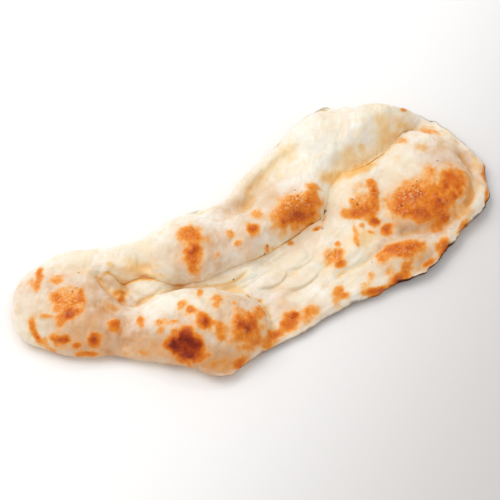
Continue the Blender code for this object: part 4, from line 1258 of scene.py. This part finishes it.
def naan_surface(cad_low, cad_high):
    """Vertices, triangles and shading fields of the whole bread in the row frame."""
    rows = [(*row, index) for index, row in enumerate(OUTLINE)]
    outline = rough_edge(smooth_curve(rows, EDGE_STEP, True))
    lip_curve = smooth_curve(LIP_LINE, LIP_STATION_STEP, False)
    plan, sides, faces, face_sides = plan_mesh(outline, lip_curve)
    distance, side, edge = nearest_on(plan, outline, True)
    distance[sides == 2] = 0.0
    upper = sides != 1
    points = np.zeros((len(plan), 3))
    points[upper] = top_surface(plan[upper], outline, lip_curve)
    points[~upper] = base_surface(plan[~upper], outline)
    normals = vertex_normals(points, faces)
    fields = {name: np.zeros(len(points)) for name in FIELD_NAMES}
    upper_fields, relief = top_fields(points[upper], plan[upper], distance[upper], lip_curve)
    for name, values in upper_fields.items():
        fields[name][upper] = values
    points[upper] += normals[upper] * relief[:, None]
    points[upper, 2] += lip_fillet_at(plan[upper], lip_curve)
    points[~upper, 2] += base_relief(points[~upper], distance[~upper])
    cavity_shade = spread(points[:, 2], faces, CAVITY_REACH) - points[:, 2]
    fields["cavity_shade"] = np.clip(spread(cavity_shade, faces, CAVITY_BLUR) / CAVITY_DEPTH, -1.0, 1.0) * upper
    fields["under"] = np.where(sides == 1, 1.0, 0.0)
    # Char and painted shade: a dark band along the lower front and right edge.
    width = np.where(upper, EDGE_CHAR_AND_SHADE_TOP, EDGE_CHAR_AND_SHADE_BASE)
    char_and_shade = edge_char_and_shade_at(points, distance, edge[:, 4], width)
    fields["char_and_shade"] = np.maximum(char_and_shade, lip_edge_at(points, plan, lip_curve) * (sides == 0))
    middle = (points.min(axis=0) + points.max(axis=0)) / 2.0
    shift = (np.array(cad_low) + np.array(cad_high)) / 2.0 - middle
    shift[2] = 0.0
    return points + shift, faces, face_sides, fields


def add_field(mesh, name, channels):
    """Store up to four shading fields as one colour attribute."""
    values = np.ones((len(mesh.vertices), 4), np.float32)
    for index, channel in enumerate(channels):
        values[:, index] = channel
    layer = mesh.attributes.new(name, "FLOAT_COLOR", "POINT")
    layer.data.foreach_set("color", values.ravel())


def add_bake_uv(mesh, points, faces, face_sides):
    """Plan layout: the top side in the upper half of the sheet, the underside below."""
    low = points[:, :2].min(axis=0)
    size = points[:, :2].max(axis=0) - low
    flat = (points[:, :2] - low) / size
    u = UV_MARGIN + (1.0 - 2.0 * UV_MARGIN) * flat[:, 0]
    v = UV_MARGIN + (0.5 - 2.0 * UV_MARGIN) * flat[:, 1]
    corner_u = u[faces]
    corner_v = v[faces] + 0.5 * (face_sides == 0)[:, None]
    layer = mesh.uv_layers.new(name="OFBake")
    layer.data.foreach_set("uv", np.stack([corner_u, corner_v], -1).astype(np.float32).ravel())


def build_naan(cad_low, cad_high):
    """The visible bread, with its shading fields, bake layout and material."""
    points, faces, face_sides, fields = naan_surface(cad_low, cad_high)
    mesh = bpy.data.meshes.new("naan_bread")
    mesh.from_pydata(points.tolist(), [], faces.tolist())
    mesh.update()
    mesh.polygons.foreach_set("use_smooth", np.ones(len(faces), bool))
    add_field(mesh, "baked", (fields["bake"], fields["dark"], fields["grain"], fields["speck"]))
    add_field(mesh, "tint", (fields["blush"], fields["gold"], fields["cavity_shade"] * 0.5 + 0.5))
    add_field(mesh, "edges", (fields["under"], fields["char_and_shade"], fields["glaze"]))
    add_bake_uv(mesh, points, faces, face_sides)
    naan = bpy.data.objects.new("naan_bread", mesh)
    bpy.context.scene.collection.objects.link(naan)
    mesh.materials.append(dough_material())
    return naan


def srgb(red, green, blue):
    """Linear colour from the 0 to 255 values of a display colour."""
    return (*((value / 255.0) ** 2.2 for value in (red, green, blue)), 1.0)


class Graph:
    """Short helpers to wire a material's nodes."""

    def __init__(self, material):
        material.use_nodes = True
        self.tree = material.node_tree
        self.shader = self.tree.nodes["Principled BSDF"]

    def node(self, kind, **values):
        node = self.tree.nodes.new(kind)
        for name, value in values.items():
            setattr(node, name, value)
        return node

    def link(self, source, target):
        self.tree.links.new(source, target)

    def feed(self, socket, value):
        if isinstance(value, bpy.types.NodeSocket):
            self.link(value, socket)
        else:
            socket.default_value = value

    def math(self, operation, first, second=0.0, clamp=False):
        node = self.node("ShaderNodeMath", operation=operation, use_clamp=clamp)
        self.feed(node.inputs[0], first)
        self.feed(node.inputs[1], second)
        return node.outputs[0]

    def times(self, first, second, clamp=False):
        return self.math("MULTIPLY", first, second, clamp)

    def plus(self, first, second, clamp=False):
        return self.math("ADD", first, second, clamp)

    def minus(self, first, second):
        return self.math("SUBTRACT", first, second)

    def remap(self, value, low, high, to_low=0.0, to_high=1.0):
        node = self.node("ShaderNodeMapRange", interpolation_type="SMOOTHSTEP")
        self.feed(node.inputs["Value"], value)
        for name, number in (("From Min", low), ("From Max", high),
                             ("To Min", to_low), ("To Max", to_high)):
            node.inputs[name].default_value = number
        return node.outputs["Result"]

    def mix(self, factor, first, second, blend="MIX"):
        node = self.node("ShaderNodeMix", data_type="RGBA", blend_type=blend)
        self.feed(node.inputs["Factor"], factor)
        self.feed(node.inputs[6], first)
        self.feed(node.inputs[7], second)
        return node.outputs[2]

    def tint(self, factor, base, colour):
        """Mix the base towards a display colour."""
        return self.mix(factor, base, srgb(*colour))

    def noise(self, place, name):
        node = self.node("ShaderNodeTexNoise")
        self.link(place, node.inputs["Vector"])
        for socket, value in zip(("Scale", "Detail", "Roughness", "Distortion"), NOISES[name]):
            node.inputs[socket].default_value = value
        return node.outputs["Fac"]

    def ramp(self, value, stops):
        node = self.node("ShaderNodeValToRGB")
        self.feed(node.inputs["Fac"], value)
        marks = node.color_ramp.elements
        while len(marks) < len(stops):
            marks.new(0.5)
        for mark, (position, colour) in zip(marks, stops):
            mark.position = position
            mark.color = srgb(*colour)
        return node.outputs["Color"]

    def field(self, name):
        node = self.node("ShaderNodeAttribute", attribute_name=name)
        split = self.node("ShaderNodeSeparateColor")
        self.link(node.outputs["Color"], split.inputs["Color"])
        return (*split.outputs, node.outputs["Alpha"])


def pale_dough(graph, place):
    """Cream of the dough that isn't browned, with its mottling."""
    broad = graph.remap(graph.noise(place, "broad"), 0.35, 0.65)
    cream = graph.mix(broad, srgb(*CREAM), srgb(*CREAM_DEEP))
    for name, fade, share, colour in CREAM_TINTS:
        shown = graph.times(graph.remap(graph.noise(place, name), *fade), share)
        cream = graph.tint(shown, cream, colour)
    return cream


def buttered_and_shaded(graph, cream, mottle, cavity_shade, gold):
    """The cream with golden butter and painted warm shade in the hollows and creases."""
    # Painted shade: hollows of the surface are tinted a deeper gold.
    hollow = graph.times(graph.remap(cavity_shade, 0.55, 1.05), 0.42)
    warm = graph.math("MAXIMUM", hollow, gold)
    warm = graph.times(warm, graph.remap(mottle, 0.2, 0.8, 0.85, 1.15))
    return graph.mix(graph.remap(warm, 0.0, 0.55), cream, graph.ramp(warm, BUTTER_AND_SHADE_RAMP))


def browning_heat(graph, bake, dark, grain, fine, mottle):
    """How far the skin is browned, broken up by grit and by clouds."""
    grit = graph.times(graph.minus(fine, 0.5), graph.plus(GRIT_HEAT[0], graph.times(grain, GRIT_HEAT[1])))
    cloud = graph.times(graph.minus(mottle, 0.5), CLOUD_HEAT)
    uneven = graph.times(graph.plus(grit, cloud), graph.remap(bake, 0.02, 0.40))
    return graph.plus(graph.plus(graph.times(bake, BAKE_HEAT), graph.times(dark, DARK_HEAT)), uneven)


def crust_colour(graph, heat, blush, dark, grain, fine):
    """Colour of the browned skin, with pale froth and painted glints on its grain."""
    crust = graph.ramp(heat, CRUST_RAMP)
    crust = graph.tint(graph.times(blush, 0.30), crust, CRUST_BLUSH)
    # Painted highlight: pale flecks of froth that also stand in for glints on the grain.
    froth_and_glint = graph.times(graph.remap(fine, 0.50, 0.60), graph.times(grain, 0.68))
    return graph.tint(graph.times(froth_and_glint, graph.minus(1.0, dark)), crust, FROTH_AND_GLINT)


def set_shine(graph, place, shown, matt):
    """Roughness that is lower on the browned skin and higher where the bread is charred."""
    rough = graph.remap(graph.noise(place, "shine"), 0.35, 0.65, *ROUGHNESS_RANGE)
    rough = graph.minus(rough, graph.times(shown, CRUST_SHINE))
    rough = graph.plus(rough, graph.times(matt, CHAR_ROUGHNESS), clamp=True)
    graph.link(rough, graph.shader.inputs["Roughness"])
    graph.shader.inputs["Subsurface Weight"].default_value = SUBSURFACE
    graph.shader.inputs["Subsurface Radius"].default_value = SUBSURFACE_RADIUS
    graph.shader.inputs["Subsurface Scale"].default_value = 1.0
    graph.shader.inputs["Specular IOR Level"].default_value = SPECULAR_LEVEL


def set_bump(graph, place, shown, fine):
    """Fine grain of the skin, stronger where it is browned."""
    crumbs = graph.noise(place, "crumbs")
    skin = graph.plus(graph.times(fine, 0.6), graph.times(crumbs, 0.4))
    height = graph.times(skin, graph.plus(0.60, graph.times(shown, 0.90)))
    bump = graph.node("ShaderNodeBump")
    bump.inputs["Distance"].default_value = BUMP_DISTANCE
    bump.inputs["Strength"].default_value = BUMP_STRENGTH
    graph.link(height, bump.inputs["Height"])
    graph.link(bump.outputs["Normal"], graph.shader.inputs["Normal"])


def dough_material():
    """Baked dough: cream, butter and painted shade in hollows, browned skin, glaze with painted shade,
    sole, and char with painted edge shade, one over the other.
    """
    material = bpy.data.materials.new("baked_dough")
    graph = Graph(material)
    place = graph.node("ShaderNodeTexCoord").outputs["Object"]
    bake, dark, grain, speck = graph.field("baked")
    blush, gold, cavity_shade = graph.field("tint")[:3]
    under, char_and_shade, glaze = graph.field("edges")[:3]
    mottle = graph.noise(place, "mottle")
    fine = graph.noise(place, "fine")

    cream = buttered_and_shaded(graph, pale_dough(graph, place), mottle, cavity_shade, gold)
    cream = graph.tint(graph.times(blush, 0.45), cream, DOUGH_BLUSH)
    heat = browning_heat(graph, bake, dark, grain, fine, mottle)
    shown = graph.remap(heat, *SHOWN_FADE)
    colour = graph.mix(shown, cream, crust_colour(graph, heat, blush, dark, grain, fine))
    # Painted shade and toasted glaze: a darkening wash over the lower sides.
    wash = graph.times(glaze, graph.remap(mottle, 0.25, 0.75, 0.75, 1.15), clamp=True)
    wash = graph.times(wash, graph.minus(1.0, graph.times(shown, 0.70)))
    colour = graph.mix(wash, colour, (*GLAZE_AND_SHADE_TINT, 1.0), "MULTIPLY")
    sole = graph.ramp(graph.noise(place, "sole"), SOLE_RAMP)
    colour = graph.mix(under, colour, sole)
    colour = graph.tint(char_and_shade, colour, CHAR_AND_SHADE)
    colour = graph.tint(speck, colour, SPECK)
    graph.link(colour, graph.shader.inputs["Base Color"])

    set_shine(graph, place, shown, graph.math("MAXIMUM", char_and_shade, under))
    set_bump(graph, place, shown, fine)
    return material


def floor_material():
    """White paper with painted shade: it falls to grey towards the right and the front."""
    material = bpy.data.materials.new("pale_floor")
    graph = Graph(material)
    place = graph.node("ShaderNodeTexCoord").outputs["Object"]
    paper = graph.mix(graph.noise(place, "paper"), *PAPER)
    split = graph.node("ShaderNodeSeparateXYZ")
    graph.link(place, split.inputs["Vector"])
    # Painted shade: the paper darkens towards the right and the front.
    away = graph.minus(split.outputs["X"], split.outputs["Y"])
    colour = graph.mix(graph.remap(away, *FLOOR_SHADE_FADE), paper, FLOOR_PAINTED_SHADE)
    graph.link(colour, graph.shader.inputs["Base Color"])
    graph.shader.inputs["Roughness"].default_value = FLOOR_ROUGHNESS
    return material


def add_floor():
    bpy.ops.mesh.primitive_plane_add(size=FLOOR_SIZE)
    floor = bpy.context.object
    floor.name = "floor"
    floor.data.materials.append(floor_material())


def view_direction(azimuth, elevation):
    """Unit vector from the object towards a viewer at that azimuth and elevation."""
    a = math.radians(azimuth)
    e = math.radians(elevation)
    return Vector((math.sin(a) * math.cos(e), -math.cos(a) * math.cos(e), math.sin(e)))


def add_camera():
    data = bpy.data.cameras.new("camera")
    data.lens = LENS_MM
    data.sensor_width = SENSOR_MM
    camera = bpy.data.objects.new("camera", data)
    bpy.context.scene.collection.objects.link(camera)
    back = view_direction(CAMERA_AZIMUTH, CAMERA_ELEVATION)
    camera.location = Vector(CAMERA_AIM) + back * CAMERA_DISTANCE
    camera.rotation_euler = (-back).to_track_quat("-Z", "Y").to_euler()
    bpy.context.scene.camera = camera


def add_area_light(name, direction, distance, size, power, colour):
    data = bpy.data.lights.new(name, "AREA")
    data.shape = "DISK"
    data.size = size
    data.energy = power
    data.color = colour
    light = bpy.data.objects.new(name, data)
    bpy.context.scene.collection.objects.link(light)
    towards = Vector(direction).normalized()
    light.location = towards * distance
    light.rotation_euler = towards.to_track_quat("Z", "Y").to_euler()


def add_lights():
    """Soft studio light: the area lights and an even pale world."""
    for light in LIGHTS:
        add_area_light(*light)
    world = bpy.data.worlds.new("studio")
    bpy.context.scene.world = world
    world.use_nodes = True
    sky = world.node_tree.nodes["Background"]
    sky.inputs["Color"].default_value = WORLD_COLOUR
    sky.inputs["Strength"].default_value = WORLD_STRENGTH
    bpy.context.scene.view_settings.view_transform = "Standard"


def main():
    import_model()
    cad_low, cad_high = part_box("naan")
    naan = build_naan(cad_low, cad_high)
    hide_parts("naan")
    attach(naan, "root")
    add_floor()
    add_lights()
    add_camera()


main()
